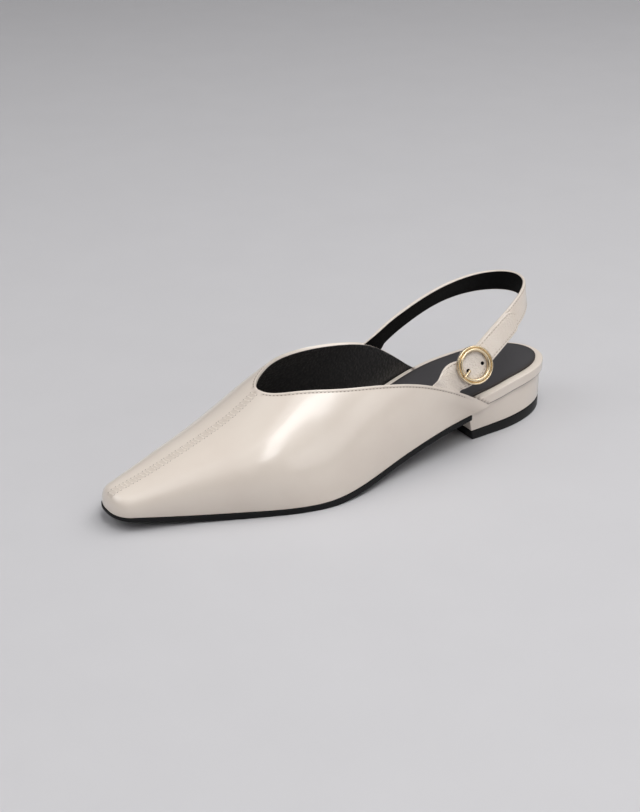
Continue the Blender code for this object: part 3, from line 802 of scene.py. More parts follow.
def rod(points: Sequence[Vector], radii: Sequence[float], across: Vector, corners: int = 16) -> Mesh:
    """Sweeps a round rod through points of one plane.

    Args:
        points: the rod's middle line.
        radii: its radius at each point.
        across: the plane's normal.
        corners: faces round the rod.

    Returns:
        The closed mesh.
    """
    line = np.array(points)
    run = unit(np.gradient(line, axis=0))
    side = np.tile(np.array(across), (len(line), 1))
    angles = np.arange(corners) * 2.0 * math.pi / corners
    ring = np.stack([np.sin(angles), np.cos(angles)], axis=1)
    loops = ring[None] * np.array(radii)[:, None, None]
    return sweep(line, side, unit(np.cross(run, side)), loops, lambda k: 0)


def smooth_path(points: Sequence[tuple[float, ...]], count: int) -> list[Vector]:
    """Draws a smooth line of many points through a few.

    Args:
        points: the few points, in order.
        count: how many points the line gets.

    Returns:
        The line's points at even distances.
    """
    rows = np.array(points, float)
    steps = np.concatenate([[0.0], np.cumsum(np.linalg.norm(np.diff(rows, axis=0), axis=1))])
    curves = [Curve(list(zip(steps, rows[:, k]))) for k in range(3)]
    return [Vector([float(c(s)) for c in curves]) for s in np.linspace(0.0, steps[-1], count)]


def add_stitch(bm: Mesh, start: Array, end: Array, normal: Array, width: float, height: float,
               finish: int = 0) -> None:
    """Adds one thread float as a low rounded bead.

    Args:
        bm: the mesh that takes it.
        start: where the thread comes up.
        end: where it goes down.
        normal: the leather's outward normal.
        width: the thread's width.
        height: how thick it stands.
        finish: its material slot.
    """
    run = end - start
    length = float(np.linalg.norm(run))
    along = run / max(length, 1e-6)
    side = unit(np.cross(normal, along))
    up = np.cross(along, side)
    turn = Matrix((side * width, up * height, along * length)).transposed().to_4x4()
    turn.translation = Vector((start + end) / 2.0)
    made = bmesh.ops.create_uvsphere(bm, u_segments=7, v_segments=5, radius=0.5, matrix=turn)
    for face in {face for vert in made["verts"] for face in vert.link_faces}:
        face.material_index = finish


def spread_evenly(line: Array, extra: Array, pitch: float) -> tuple[Array, Array]:
    """Marks even distances along a line.

    Args:
        line: the line's points.
        extra: vectors that go with the points.
        pitch: the distance between marks.

    Returns:
        The marks and the vectors at them.
    """
    steps = np.concatenate([[0.0], np.cumsum(np.linalg.norm(np.diff(line, axis=0), axis=1))])
    marks = np.arange(pitch / 2.0, steps[-1], pitch)
    points = np.stack([np.interp(marks, steps, line[:, k]) for k in range(3)], axis=1)
    return points, unit(np.stack([np.interp(marks, steps, extra[:, k]) for k in range(3)], axis=1))


@dataclass
class Skin:
    """Outer face of one half of the upper as rows of points."""

    x: Array
    points: Array
    down: Array
    normals: Array
    stitch_line: Array = field(default_factory=lambda: np.zeros((0, 3)))
    stitch_out: Array = field(default_factory=lambda: np.zeros((0, 3)))

    def at(self, x: float, down: float) -> tuple[Array, Array]:
        """Finds a place on the face.

        Args:
            x: position along the shoe.
            down: distance below the half's top edge.

        Returns:
            The point and its outward normal.
        """
        column = float(np.interp(x, self.x, np.arange(len(self.x))))
        first = min(int(column), len(self.x) - 2)
        part = column - first
        found = []
        for grid in (self.points, self.normals):
            near, far = [np.array([np.interp(down, self.down[i], grid[i, :, k]) for k in range(3)])
                         for i in (first, first + 1)]
            found.append(near * (1.0 - part) + far * part)
        return found[0], unit(found[1])


@dataclass
class Upper:
    """Two-piece upper: leather outside, pebbled lining inside, a folded topline and a zigzag seam."""

    wall: float = 1.5
    columns: int = 200
    rows: int = 64
    edge_row: float = 0.34
    fold_round: float = 0.7
    bead_height: float = 0.18
    bead_width: float = 0.5
    bead_above: float = 0.8
    groove_depth: float = 0.10
    groove_width: float = 0.32
    stitch_down: float = 1.4
    stitch_pitch: float = 1.9
    stitch_trim: float = 0.22
    stitch_wide: float = 0.42
    stitch_tall: float = 0.36
    plain_tip: float = 9.0
    fold_run: float = 14.0
    seam_half: float = 2.2
    seam_pitch: float = 2.0
    seam_thread: float = 0.75
    seam_stray: float = 0.3
    seam_slant: float = 0.8
    seam_start_x: float = 174.2
    seam_end_x: float = 253.0
    seam_tall: float = 0.3
    seam_crown: float = 0.1
    hole_shade_reach: float = 0.32
    hole_shade_wide: float = 0.6
    hole_shade_tall: float = 0.10
    joint_depth: float = 0.10
    joint_width: float = 0.35
    groove_painted_shade: float = 0.35
    seam_painted_shade: float = 0.16
    hollow_painted_shade: float = 0.36
    skins: dict[Side, Skin] = field(default_factory=dict)
    topline: Array = field(default_factory=lambda: np.zeros((0, 3)))

    # Soft forms: side, x, distance below the top edge, length, breadth, height
    forms: Rows = (
        (1, 88.0, 12.0, 14.0, 12.0, -0.5),
    )

    def stations(self, side: Side) -> Array:
        """Positions along one half, close together at the throat and the toe.

        Args:
            side: which half.

        Returns:
            Values of x from the wing's tip to the toe.
        """
        half = self.columns // 2
        back = np.arange(half, 0, -1) / half
        front = 1.0 - np.arange(half + 1) / half
        wing = LAST.throat_x - (LAST.throat_x - LAST.tip(side)) * back ** 1.7
        vamp = LAST.throat_x + (LAST.length - LAST.throat_x) * (1.0 - front ** 1.7)
        return np.concatenate([wing, vamp])

    def measure(self, side: Side) -> Skin:
        """Lays the rows of one half at real distances below its top edge.

        Args:
            side: which half.

        Returns:
            The half's points before any relief.
        """
        x = self.stations(side)
        top = LAST.top_rise(side, x)
        fall = np.linspace(0.0, 1.0, 240) ** 2
        fine = LAST.wall(side, x[:, None], top[:, None] * (1.0 - fall[None]))
        gone = np.concatenate([np.zeros((len(x), 1)),
                               np.cumsum(np.linalg.norm(np.diff(fine, axis=1), axis=2), axis=1)], axis=1)
        row = np.arange(self.rows + 1) / self.rows
        points = np.zeros((len(x), self.rows + 1, 3))
        down = np.zeros((len(x), self.rows + 1))
        for i in range(len(x)):
            total = max(gone[i, -1], 1e-6)
            first = min(1.0, self.edge_row * self.rows / total)
            down[i] = total * (first * row + (1.0 - first) * row ** 2)
            rise = top[i] * (1.0 - np.interp(down[i], gone[i], fall))
            points[i] = LAST.wall(side, np.full(self.rows + 1, x[i]), rise)
        along = np.gradient(points, axis=0)
        across = np.gradient(points, axis=1)
        normals = unit(np.cross(along, across)) * side.value
        return Skin(x, points, down, normals)

    def folded(self, side: Side, skin: Skin) -> Array:
        """Share of the folded edge's relief at each station, none at the tip of the wing."""
        return np.clip((skin.x - LAST.tip(side) - self.plain_tip) / self.fold_run, 0.0, 1.0)[:, None]

    def relief(self, side: Side, skin: Skin, edge: Array) -> Array:
        """Height of the leather over its plain form.

        Args:
            side: which half.
            skin: the half's points.
            edge: each point's distance from the topline.

        Returns:
            Heights along the normals.
        """
        above = edge - self.stitch_down + self.bead_above
        bead = self.bead_height * np.exp(-(above / self.bead_width) ** 2)
        height = bead - self.groove_depth * np.exp(-((edge - self.stitch_down) / self.groove_width) ** 2)
        height = height * self.folded(side, skin)
        ahead = np.clip((skin.x - LAST.throat_x - 1.0) / 2.0, 0.0, 1.0)[:, None]
        height = height - self.joint_depth * ahead * np.exp(-(skin.down / self.joint_width) ** 2)
        for sign, x, down, length, breadth, tall in self.forms:
            if sign == side.value:
                height = height + tall * np.exp(-((skin.x[:, None] - x) / length) ** 2
                                                - ((skin.down - down) / breadth) ** 2)
        return height

    def tone(self, side: Side, skin: Skin, edge: Array) -> Array:
        """Share of painted shade in the leather: along the stitch groove, under the vamp's seam and towards
        each wing's end.

        Args:
            side: which half.
            skin: the half's points.
            edge: each point's distance from the topline.

        Returns:
            Shares for the mesh attribute seam_shade.
        """
        # Painted shade along the topline's stitch groove.
        sewn = self.groove_painted_shade * np.exp(-((edge - self.stitch_down) / 0.4) ** 2) * self.folded(side, skin)
        x = skin.x[:, None]
        # Painted shade in the band under the vamp's zigzag seam, between its threads.
        crossed = (x > self.seam_start_x - 1.0) & (x < self.seam_end_x + 0.5)
        band = np.clip((self.seam_half + 0.3 - skin.down) / 0.5, 0.0, 1.0)
        seam = np.where(crossed, self.seam_painted_shade * band, 0.0)
        # Painted shade towards the end of each wing, over its soft hollow.
        hollow_shade = self.hollow_painted_shade * np.exp(-((x - LAST.tip(side) - 6.0) / 19.0) ** 2)
        hollow_shade = hollow_shade * np.clip((edge - 1.5) / 5.0, 0.0, 1.0)
        return np.clip(sewn + seam + hollow_shade, 0.0, 1.0)

    def build(self, leather: bpy.types.Material, lining: bpy.types.Material) -> bpy.types.Object:
        """Makes the leather shell with its lining.

        Args:
            leather: the outer finish.
            lining: the inner finish.

        Returns:
            The upper's object.
        """
        for side in Side:
            self.skins[side] = self.measure(side)
        half = self.columns // 2
        joint = unit(self.skins[Side.LATERAL].normals[half:, 0] + self.skins[Side.MEDIAL].normals[half:, 0])
        for side in Side:
            self.skins[side].normals[half:, 0] = joint
        lateral = self.skins[Side.LATERAL].points[:half + 1, 0]
        medial = self.skins[Side.MEDIAL].points[:half + 1, 0]
        self.topline = np.concatenate([lateral, medial[::-1]])
        steps = np.concatenate([[0.0], np.cumsum(np.linalg.norm(np.diff(self.topline, axis=0), axis=1))])
        marks = np.arange(0.0, steps[-1], 0.1)
        tree = KDTree(len(marks))
        for i, mark in enumerate(marks):
            tree.insert([float(np.interp(mark, steps, self.topline[:, k])) for k in range(3)], i)
        tree.balance()
        bm = bmesh.new()
        shade = bm.verts.layers.float.new("seam_shade")
        for side in Side:
            skin = self.skins[side]
            edge = np.array([[tree.find(p)[2] for p in column] for column in skin.points])
            height = self.relief(side, skin, edge)
            height[-1] = 0.0
            skin.points = skin.points + skin.normals * height[:, :, None]
            dark = self.tone(side, skin, edge)
            old = set(bm.verts)
            bmesh.ops.create_grid(bm, x_segments=self.columns, y_segments=self.rows, size=0.5)
            for vert in set(bm.verts) - old:
                i = round((vert.co.x + 0.5) * self.columns)
                k = round((vert.co.y + 0.5) * self.rows)
                vert.co = skin.points[i, k]
                vert[shade] = dark[i, k]
            self.edge_line(side, edge)
        bmesh.ops.remove_doubles(bm, verts=bm.verts, dist=WELD)
        for face in bm.faces:
            middle = face.calc_center_median()
            if face.normal.dot(middle - Vector((middle.x - 8.0, 0.0, 4.0))) < 0.0:
                face.normal_flip()
        piece = finish_piece("upper_leather", bm, (leather, lining), "upper", closed=False,
                             sharp_deg=60.0)
        shell = piece.modifiers.new("wall", "SOLIDIFY")
        shell.thickness = self.wall * MM
        shell.offset = -1.0
        shell.use_quality_normals = True
        shell.material_offset = 1
        shell.material_offset_rim = 0
        fold = piece.modifiers.new("folded_edge", "BEVEL")
        fold.width = self.fold_round * MM
        fold.segments = 4
        fold.limit_method = "ANGLE"
        fold.angle_limit = math.radians(55.0)
        fold.material = 0
        return piece

    def edge_line(self, side: Side, edge: Array) -> None:
        """Keeps the line of the topline stitches on one half.

        Args:
            side: which half.
            edge: each point's distance from the topline.
        """
        skin = self.skins[side]
        line = []
        normals = []
        for i in range(len(skin.x)):
            first = LAST.tip(side) + self.plain_tip + 5.0
            sewn = first < skin.x[i] < LAST.throat_x + self.stitch_down
            if sewn and edge[i, 0] < self.stitch_down < edge[i, -1]:
                rising = np.maximum.accumulate(edge[i])
                line.append([np.interp(self.stitch_down, rising, skin.points[i, :, k]) for k in range(3)])
                normals.append([np.interp(self.stitch_down, rising, skin.normals[i, :, k]) for k in range(3)])
        skin.stitch_line = np.array(line)
        skin.stitch_out = np.array(normals)

    def sew(self, thread: bpy.types.Material, seam_thread: bpy.types.Material) -> None:
        """Adds the topline stitches and the zigzag seam over the vamp.

        Args:
            thread: the finish of the topline's thread and of the seam's needle holes, both darkened as
                painted shade.
            seam_thread: the finish of the zigzag.
        """
        bm = bmesh.new()
        lateral = self.skins[Side.LATERAL]
        medial = self.skins[Side.MEDIAL]
        line = np.concatenate([lateral.stitch_line, medial.stitch_line[::-1]])
        outs = np.concatenate([lateral.stitch_out, medial.stitch_out[::-1]])
        marks, normals = spread_evenly(line, outs, self.stitch_pitch)
        for here, there, normal in zip(marks, marks[1:], normals):
            run = there - here
            trim = run * self.stitch_trim
            add_stitch(bm, here + trim, there - trim, normal, self.stitch_wide, self.stitch_tall)
        finish_piece("topline_stitches", bm, (thread,))
        bm = bmesh.new()
        for count, even_x in enumerate(np.arange(self.seam_start_x, self.seam_end_x, self.seam_pitch)):
            near_x = even_x + self.seam_stray * math.sin(2.4 * count)
            slant = self.seam_slant + self.seam_stray * math.sin(3.7 * count)
            width = self.seam_thread * (1.0 + self.seam_stray * math.sin(1.3 * count))
            start, start_out = lateral.at(near_x, self.seam_half)
            end, end_out = medial.at(near_x + slant, self.seam_half)
            top, top_out = lateral.at(near_x + slant / 2.0, 0.0)
            top = top + top_out * self.seam_crown
            add_stitch(bm, start, top, start_out, width, self.seam_tall)
            add_stitch(bm, top, end, end_out, width, self.seam_tall)
            # Dark beads at both needle holes are painted shade for the inside of the holes.
            for hole, away, out in ((start, start - top, start_out), (end, end - top, end_out)):
                reach = unit(away) * self.hole_shade_reach
                add_stitch(bm, hole - reach * 0.4, hole + reach, out, self.hole_shade_wide, self.hole_shade_tall,
                           finish=1)
        finish_piece("vamp_seam_stitches", bm, (seam_thread, thread))


@dataclass
class Bottom:
    """Outsole, covered heel with its lift, footbed with its rolled rim, and the sock."""

    sole_round: float = 0.4
    heel_round: float = 30.0
    breast_top_x: float = 66.5
    breast_floor_x: float = 60.6
    heel_floor_back: float = 2.0
    heel_floor_round: float = 42.0
    heel_floor_lateral: float = 25.4
    heel_floor_medial: float = 21.5
    heel_top_inset: float = 1.2
    lift_thick: float = 5.6
    lift_share: float = 0.28
    lift_round: float = 0.45
    rim_inset: float = 1.9
    rim_roll: float = 1.1
    rim_foot_round: float = 0.4
    cover_round: float = 0.4
    joint_shade_wide: float = 0.5
    joint_shade_fade: float = 0.3
    joint_wall: float = 1.5
    gap_rows: int = 4
    gap_wall: float = 1.2
    gap_shadow_length: float = 11.0
    gap_shadow_drop: float = 0.5
    gap_shadow_wide: float = 0.8
    gap_shadow_dark: float = 1.0
    footbed_toe_x: float = 252.0
    sock_inset: float = 4.0
    sock_thick: float = 1.0
    sock_toe_x: float = 246.0
    sock_round: float = 0.5
    sock_edge_band: float = 1.1

    def joint_shade_line(self, bm: Mesh, level: Callable[[float], float]) -> None:
        """Paints a thin line of shade along the joint between rim and heel.

        Args:
            bm: the mesh whose walls take the line.
            level: height of the joint for x.
        """
        walls = [e for e in bm.edges if abs(e.verts[0].co.z - e.verts[1].co.z) > self.joint_wall]
        shares = {}
        for edge in walls:
            first, second = (abs(v.co.z - float(level(v.co.x))) for v in edge.verts)
            share = min(0.45, self.joint_shade_fade / edge.calc_length())
            shares[edge] = share if first < second else 1.0 - share
        bmesh.ops.subdivide_edges(bm, edges=walls, cuts=1, edge_percents=shares)
        shade = bm.verts.layers.float.new("seam_shade")
        for vert in bm.verts:
            away = abs(vert.co.z - float(level(vert.co.x)))
            vert[shade] = 1.0 if away < self.joint_shade_wide else 0.0

    def wing_gap_shadow(self, bm: Mesh) -> None:
        """Paints a narrow shadow on the rim where the ends of the wings lie over it.

        Args:
            bm: the rim's mesh with its attribute seam_shade.
        """
        walls = [e for e in bm.edges if abs(e.verts[0].co.z - e.verts[1].co.z) > self.gap_wall]
        bmesh.ops.subdivide_edges(bm, edges=walls, cuts=self.gap_rows)
        shade = bm.verts.layers.float["seam_shade"]
        for side in Side:
            x = LAST.tip(side) + np.linspace(0.0, self.gap_shadow_length, 120)
            line = LAST.wall(side, x, LAST.top_rise(side, x))
            for vert in bm.verts:
                if vert.co.y * side.value > 0.0:
                    away = np.hypot(line[:, 0] - vert.co.x, line[:, 2] - self.gap_shadow_drop - vert.co.z).min()
                    vert[shade] = max(vert[shade], self.gap_shadow_dark * math.exp(-(away / self.gap_shadow_wide) ** 2))

    def build_outsole(self, rubber: bpy.types.Material) -> None:
        """Makes the thin black sole from the heel breast to the toe.

        Args:
            rubber: the sole's finish.
        """
        start = self.breast_top_x + GAP
        end = LAST.length + LAST.sole_proud

        def face(lower: bool) -> Callable[[Array, Array], Array]:
            """Gives one face of the sole.

            Args:
                lower: whether it is the tread or the top.

            Returns:
                A function of u and v that gives the face's points.
            """
            def place(u: Array, v: Array) -> Array:
                """Gives the face's points.

                Args:
                    u: 0 at the back to 1 at the toe.
                    v: -1 on the medial edge to 1 on the lateral edge.

                Returns:
                    Points with x, y and z in the last axis.
                """
                x, y = LAST.plan(u, v, start, end, -LAST.sole_proud, 0.0, LAST.toe_round)
                z = sole_top(x)
                return np.stack([x, y, np.maximum(0.0, z - SOLE_THICK(x)) if lower else z], axis=1)
            return place

        bm = plate(110, 28, face(True), face(False))
        round_edges(bm, self.sole_round, 3, lambda e: True)
        finish_piece("rubber_outsole", bm, (rubber,), "outsole")

    def heel_face(self, share: float, height: Callable[[Array], Array]) -> Callable[[Array, Array], Array]:
        """Outline of the heel at one level.

        Args:
            share: 0 on the floor to 1 at the seat.
            height: gives z for x.

        Returns:
            A function of u and v that gives the level's points.
        """
        back = self.heel_floor_back + (self.heel_top_inset - self.heel_floor_back) * share
        breast = self.breast_floor_x + (self.breast_top_x - self.breast_floor_x) * share
        rounding = self.heel_floor_round + (self.heel_round - self.heel_floor_round) * share
        corner = math.sqrt(0.5)
        inset = self.rim_inset + self.heel_top_inset

        def place(u: Array, v: Array) -> Array:
            """Gives the level's points.

            Args:
                u: 0 at the back to 1 at the breast.
                v: -1 on the medial edge to 1 on the lateral edge.

            Returns:
                Points with x, y and z in the last axis.
            """
            first = back + rounding * (1.0 - np.sqrt(1.0 - (v * corner) ** 2))
            x = first + (breast - first) * u
            cap = np.maximum(LAST.end_cap(x, back, breast, rounding, 0.0), corner)
            outer = self.heel_floor_lateral * (1.0 - share) + LAST.feather(Side.LATERAL, x, inset) * share
            inner = -self.heel_floor_medial * (1.0 - share) + LAST.feather(Side.MEDIAL, x, inset) * share
            y = (outer + inner) / 2.0 + v * (outer - inner) / 2.0 * cap
            return np.stack([x, y, np.broadcast_to(height(x), x.shape)], axis=1)

        return place

    def build_heel(self, leather: bpy.types.Material, rubber: bpy.types.Material) -> None:
        """Makes the covered block and the top lift under it.

        Args:
            leather: the block's finish.
            rubber: the lift's finish.
        """
        lift = plate(36, 26, self.heel_face(0.0, lambda x: np.zeros_like(x)),
                     self.heel_face(self.lift_share, lambda x: np.full_like(x, self.lift_thick)))
        round_edges(lift, self.lift_round, 3, lambda e: True)
        finish_piece("rubber_top_lift", lift, (rubber,), "heel_top_lift")
        base = self.lift_thick + GAP
        block = plate(36, 26, self.heel_face(self.lift_share, lambda x: np.full_like(x, base)),
                      self.heel_face(1.0, sole_top))
        round_edges(block, self.cover_round, 4, lambda e: True)
        self.joint_shade_line(block, sole_top)
        finish_piece("covered_heel", block, (leather,), "heel_block")

    def build_footbed(self, leather: bpy.types.Material) -> None:
        """Makes the padded footbed whose rim is wrapped in leather.

        Args:
            leather: the rim's finish.
        """
        def face(lower: bool) -> Callable[[Array, Array], Array]:
            """Gives one face of the footbed.

            Args:
                lower: whether it is the underside or the top.

            Returns:
                A function of u and v that gives the face's points.
            """
            def place(u: Array, v: Array) -> Array:
                """Gives the face's points.

                Args:
                    u: 0 at the back to 1 at the toe.
                    v: -1 on the medial edge to 1 on the lateral edge.

                Returns:
                    Points with x, y and z in the last axis.
                """
                x, y = LAST.plan(u, v, 0.0, self.footbed_toe_x, self.rim_inset,
                                 self.heel_round, LAST.toe_round)
                return np.stack([x, y, LAST.seat(x) if lower else footbed_top(x)], axis=1)
            return place

        bm = plate(120, 18, face(True), face(False))
        round_edges(bm, self.rim_roll, 6, lambda e: e.verts[0].co.z > float(LAST.seat(e.verts[0].co.x)) + 1.0)
        round_edges(bm, self.rim_foot_round, 3,
                    lambda e: e.verts[0].co.z < float(LAST.seat(e.verts[0].co.x)) + 0.2)
        self.joint_shade_line(bm, LAST.seat)
        self.wing_gap_shadow(bm)
        finish_piece("footbed_rim", bm, (leather,), "footbed")

    def build_sock(self, leather: bpy.types.Material) -> None:
        """Makes the charcoal sock that lies on the footbed.

        Args:
            leather: the sock's finish.
        """
        def face(rise: float) -> Callable[[Array, Array], Array]:
            """Gives one face of the sock.

            Args:
                rise: its height over the footbed.

            Returns:
                A function of u and v that gives the face's points.
            """
            def place(u: Array, v: Array) -> Array:
                """Gives the face's points.

                Args:
                    u: 0 at the back to 1 at the toe.
                    v: -1 on the medial edge to 1 on the lateral edge.

                Returns:
                    Points with x, y and z in the last axis.
                """
                x, y = LAST.plan(u, v, self.sock_inset, self.sock_toe_x,
                                 self.rim_inset + self.sock_inset, self.heel_round - self.sock_inset,
                                 LAST.toe_round)
                return np.stack([x, y, footbed_top(x) + rise], axis=1)
            return place

        bm = plate(120, 20, face(GAP * 0.3), face(GAP + self.sock_thick))
        shade = bm.verts.layers.float.new("seam_shade")
        outline = [v.co.copy() for e in bm.edges if e.calc_face_angle(0.0) > CRISP for v in e.verts]
        tree = KDTree(len(outline))
        for i, point in enumerate(outline):
            tree.insert((point.x, point.y, 0.0), i)
        tree.balance()
        for vert in bm.verts:
            away = tree.find((vert.co.x, vert.co.y, 0.0))[2]
            vert[shade] = math.exp(-(away / self.sock_edge_band) ** 2)
        round_edges(bm, self.sock_round, 3,
                    lambda e: e.verts[0].co.z > float(footbed_top(e.verts[0].co.x)) + 0.6)
        finish_piece("insole_sock_leather", bm, (leather,), "insole_sock")


class Band:
    """Smooth run of a strap: points, width directions and outward normals along it."""

    def __init__(self, rows: Sequence[tuple[Array, Array]]) -> None:
        """Draws the run through a few rows.

        Args:
            rows: points of the middle line, each with its width direction.
        """
        points = np.array([row[0] for row in rows], float)
        wides = np.array([row[1] for row in rows], float)
        steps = np.concatenate([[0.0], np.cumsum(np.linalg.norm(np.diff(points, axis=0), axis=1))])
        self.length = float(steps[-1])
        self.place = [Curve(list(zip(steps, points[:, k]))) for k in range(3)]
        self.lift = [Curve(list(zip(steps, wides[:, k]))) for k in range(3)]

    def frames(self, s: Array | float) -> tuple[Array, Array, Array, Array]:
        """Reads the run.

        Args:
            s: distances along it.

        Returns:
            Points, run directions, width directions and outward normals.
        """
        s = np.clip(np.asarray(s, float), 0.0, self.length)
        points = np.stack([c(s) for c in self.place], axis=-1)
        ahead = np.stack([c(np.minimum(s + 0.2, self.length)) for c in self.place], axis=-1)
        behind = np.stack([c(np.maximum(s - 0.2, 0.0)) for c in self.place], axis=-1)
        run = unit(ahead - behind)
        wide = np.stack([c(s) for c in self.lift], axis=-1)
        wide = unit(wide - run * np.sum(wide * run, axis=-1, keepdims=True))
        return points, run, wide, unit(np.cross(wide, run))


@dataclass
class Straps:
    """The sling round the heel and the billet that meets it under the buckle."""

    width: float = 11.5
    base_width: float = 16.5
    sling_thick: float = 1.5
    billet_thick: float = 1.4
    tail_thick: float = 0.8
    end_round: float = 5.75
    sling_depth: float = 0.75
    billet_depth: float = 0.85
    sling_start: float = 16.0
    tail_spare: float = 19.0
    fold_thick: float = 0.9
    fold_length: float = 9.0
    overlap: float = 36.0
    flare_lead: float = 8.0
    flare_length: float = 26.0
    ring_swell: float = 1.7
    bar_radius: float = 0.7
    bar_play: float = 0.25
    slot_half: float = 1.5
    hole_radius: float = 1.15
    hole_at: float = 4.2
    spare_hole_radius: float = 0.95
    spare_hole_at: tuple[float, float] = (-4.0, -2.6)
    stitch_in: float = 1.2
    stitch_pitch: float = 1.9
    stitch_trim: float = 0.13
    stitch_wide: float = 0.42
    stitch_tall: float = 0.36
    band: Band = field(init=False)
    tail: Band = field(init=False)

    # Outer face from an edge inwards: distance from the edge and share of the half thickness
    outer: Rows = ((0.0, 0.0), (0.06, 0.45), (0.22, 0.8), (0.5, 0.98), (0.85, 1.0), (1.05, 0.9), (1.2, 0.8),
                   (1.35, 0.9), (1.55, 1.0), (2.4, 1.05), (3.8, 1.09), (9.0, 1.1))
    inner: Rows = ((9.0, -1.0), (3.0, -1.0), (1.0, -1.0), (0.5, -0.98), (0.22, -0.8), (0.06, -0.45))

    def __post_init__(self) -> None:
        """Draws the runs of both straps."""
        rows = [self.tucked(Side.MEDIAL, x, z, self.sling_depth) for x, z in SLING_TUCK]
        rows += [self.free(row) for row in SLING_FREE]
        self.band = Band(rows)
        point, run, wide, out = self.band.frames(self.band.length)
        rows = []
        for back in (self.overlap, 25.0, 18.0, 12.0, 6.0, 0.0):
            p, _, w, n = self.band.frames(self.band.length - back)
            rows.append((p + n * self.billet_level, w))
        rows.append((point + run * 5.0 + out * self.billet_level, wide))
        rows += [self.free(row) for row in BILLET_FREE]
        rows += [self.tucked(Side.LATERAL, x, z, self.billet_depth) for x, z in BILLET_TUCK]
        self.tail = Band(rows)

    @staticmethod
    def tucked(side: Side, x: float, z: float, depth: float) -> tuple[Array, Array]:
        """Row of a strap that runs on between leather and lining."""
        point, up, inward = LAST.wall_frame(side, x, z)
        return point + inward * depth, up

    @staticmethod
    def settled(side: Side, depth: float, above: float, below: float) -> Callable[[Array, Array], Array]:
        """Lays a strap's end along the inside of a wing.

        Args:
            side: which wing.
            depth: how far the strap's middle lies under the wing's outer face.
            above: how far over the topline the strap starts to bend in.
            below: how far under it the strap lies along the wall.

        Returns:
            A function of points and their distances outward from the strap's middle.
        """
        def settle(points: Array, rises: Array) -> Array:
            """Moves the points that are near or under the topline.

            Args:
                points: the strap's corners.
                rises: their distances outward from the strap's middle.

            Returns:
                The corners, laid along the wall.
            """
            x = points[:, :, 0]
            z = points[:, :, 2]
            under = (LAST.topline[side](x) - z + above) / (above + below)
            share = np.where(x > LAST.tip(side) + 8.0, np.clip(under, 0.0, 1.0), 0.0)
            share = (share * share * (3.0 - 2.0 * share))[:, :, None]
            wall, _, inward = LAST.wall_frame(side, x, z)
            return points * (1.0 - share) + (wall + inward * (depth - rises[:, :, None])) * share

        return settle

    @staticmethod
    def free(row: tuple[float, ...]) -> tuple[Array, Array]:
        """Row of a strap in the air.

        Args:
            row: x, y, z and how far the strap leans in over the heel, in degrees.

        Returns:
            The row's point and its width direction.
        """
        x, y, z, lean = row
        inward = unit(np.array([40.0 - min(x, 40.0), 2.0 - y, 0.0]))
        tilt = math.radians(lean)
        return np.array([x, y, z]), inward * math.sin(tilt) + np.array([0.0, 0.0, math.cos(tilt)])

    @property
    def billet_level(self) -> float:
        """Height of the billet's middle over the sling's middle at the buckle."""
        return self.sling_thick / 2.0 + GAP + self.billet_thick / 2.0

    @property
    def ring_back(self) -> float:
        """Height of the ring's back over the sling's middle."""
        return self.billet_level + self.billet_thick / 2.0 + GAP

    @property
    def fold_radius(self) -> float:
        """Radius of the fold's middle round the bar."""
        return self.bar_radius + self.bar_play + self.fold_thick / 2.0

    @property
    def bar_level(self) -> float:
        """Height of the bar over the sling's middle."""
        return (self.sling_thick - self.fold_thick) / 2.0 - self.fold_radius

    def buckle_place(self) -> Matrix:
        """Places the buckle on the sling's end.

        Returns:
            Axes at the bar: along the strap, across it and outward.
        """
        point, run, wide, out = self.band.frames(self.band.length)
        matrix = Matrix((run, wide, out)).transposed().to_4x4()
        matrix.translation = Vector(point)
        return matrix

    def section(self, widths: Array, thicks: Array) -> Array:
        """Cross-sections of a strap with turned edges.

        Args:
            widths: width at each station.
            thicks: thickness at each station.

        Returns:
            Loops of corners, as (station, corner, 2).
        """
        right = [(1.0, away, share) for away, share in self.outer]
        left = [(-1.0, away, share) for away, share in reversed(self.outer[:-1])]
        under = [(-1.0, away, share) for away, share in reversed(self.inner[1:])]
        under += [(1.0, away, share) for away, share in self.inner]
        loop = np.array(right + left + under)
        half = widths[:, None] / 2.0
        squeeze = np.minimum(1.0, 2.0 * half / self.width)
        inset = np.minimum(loop[None, :, 1] * squeeze, half)
        across = loop[None, :, 0] * (half - inset)
        return np.stack([across, loop[None, :, 2] * thicks[:, None] / 2.0], axis=-1)

    def lined(self, corner: int) -> int:
        """Gives the lining's slot to the inner face, inside its turned edges."""
        first = 2 * len(self.outer) + 1
        return 1 if first <= corner < first + len(self.inner) else 0

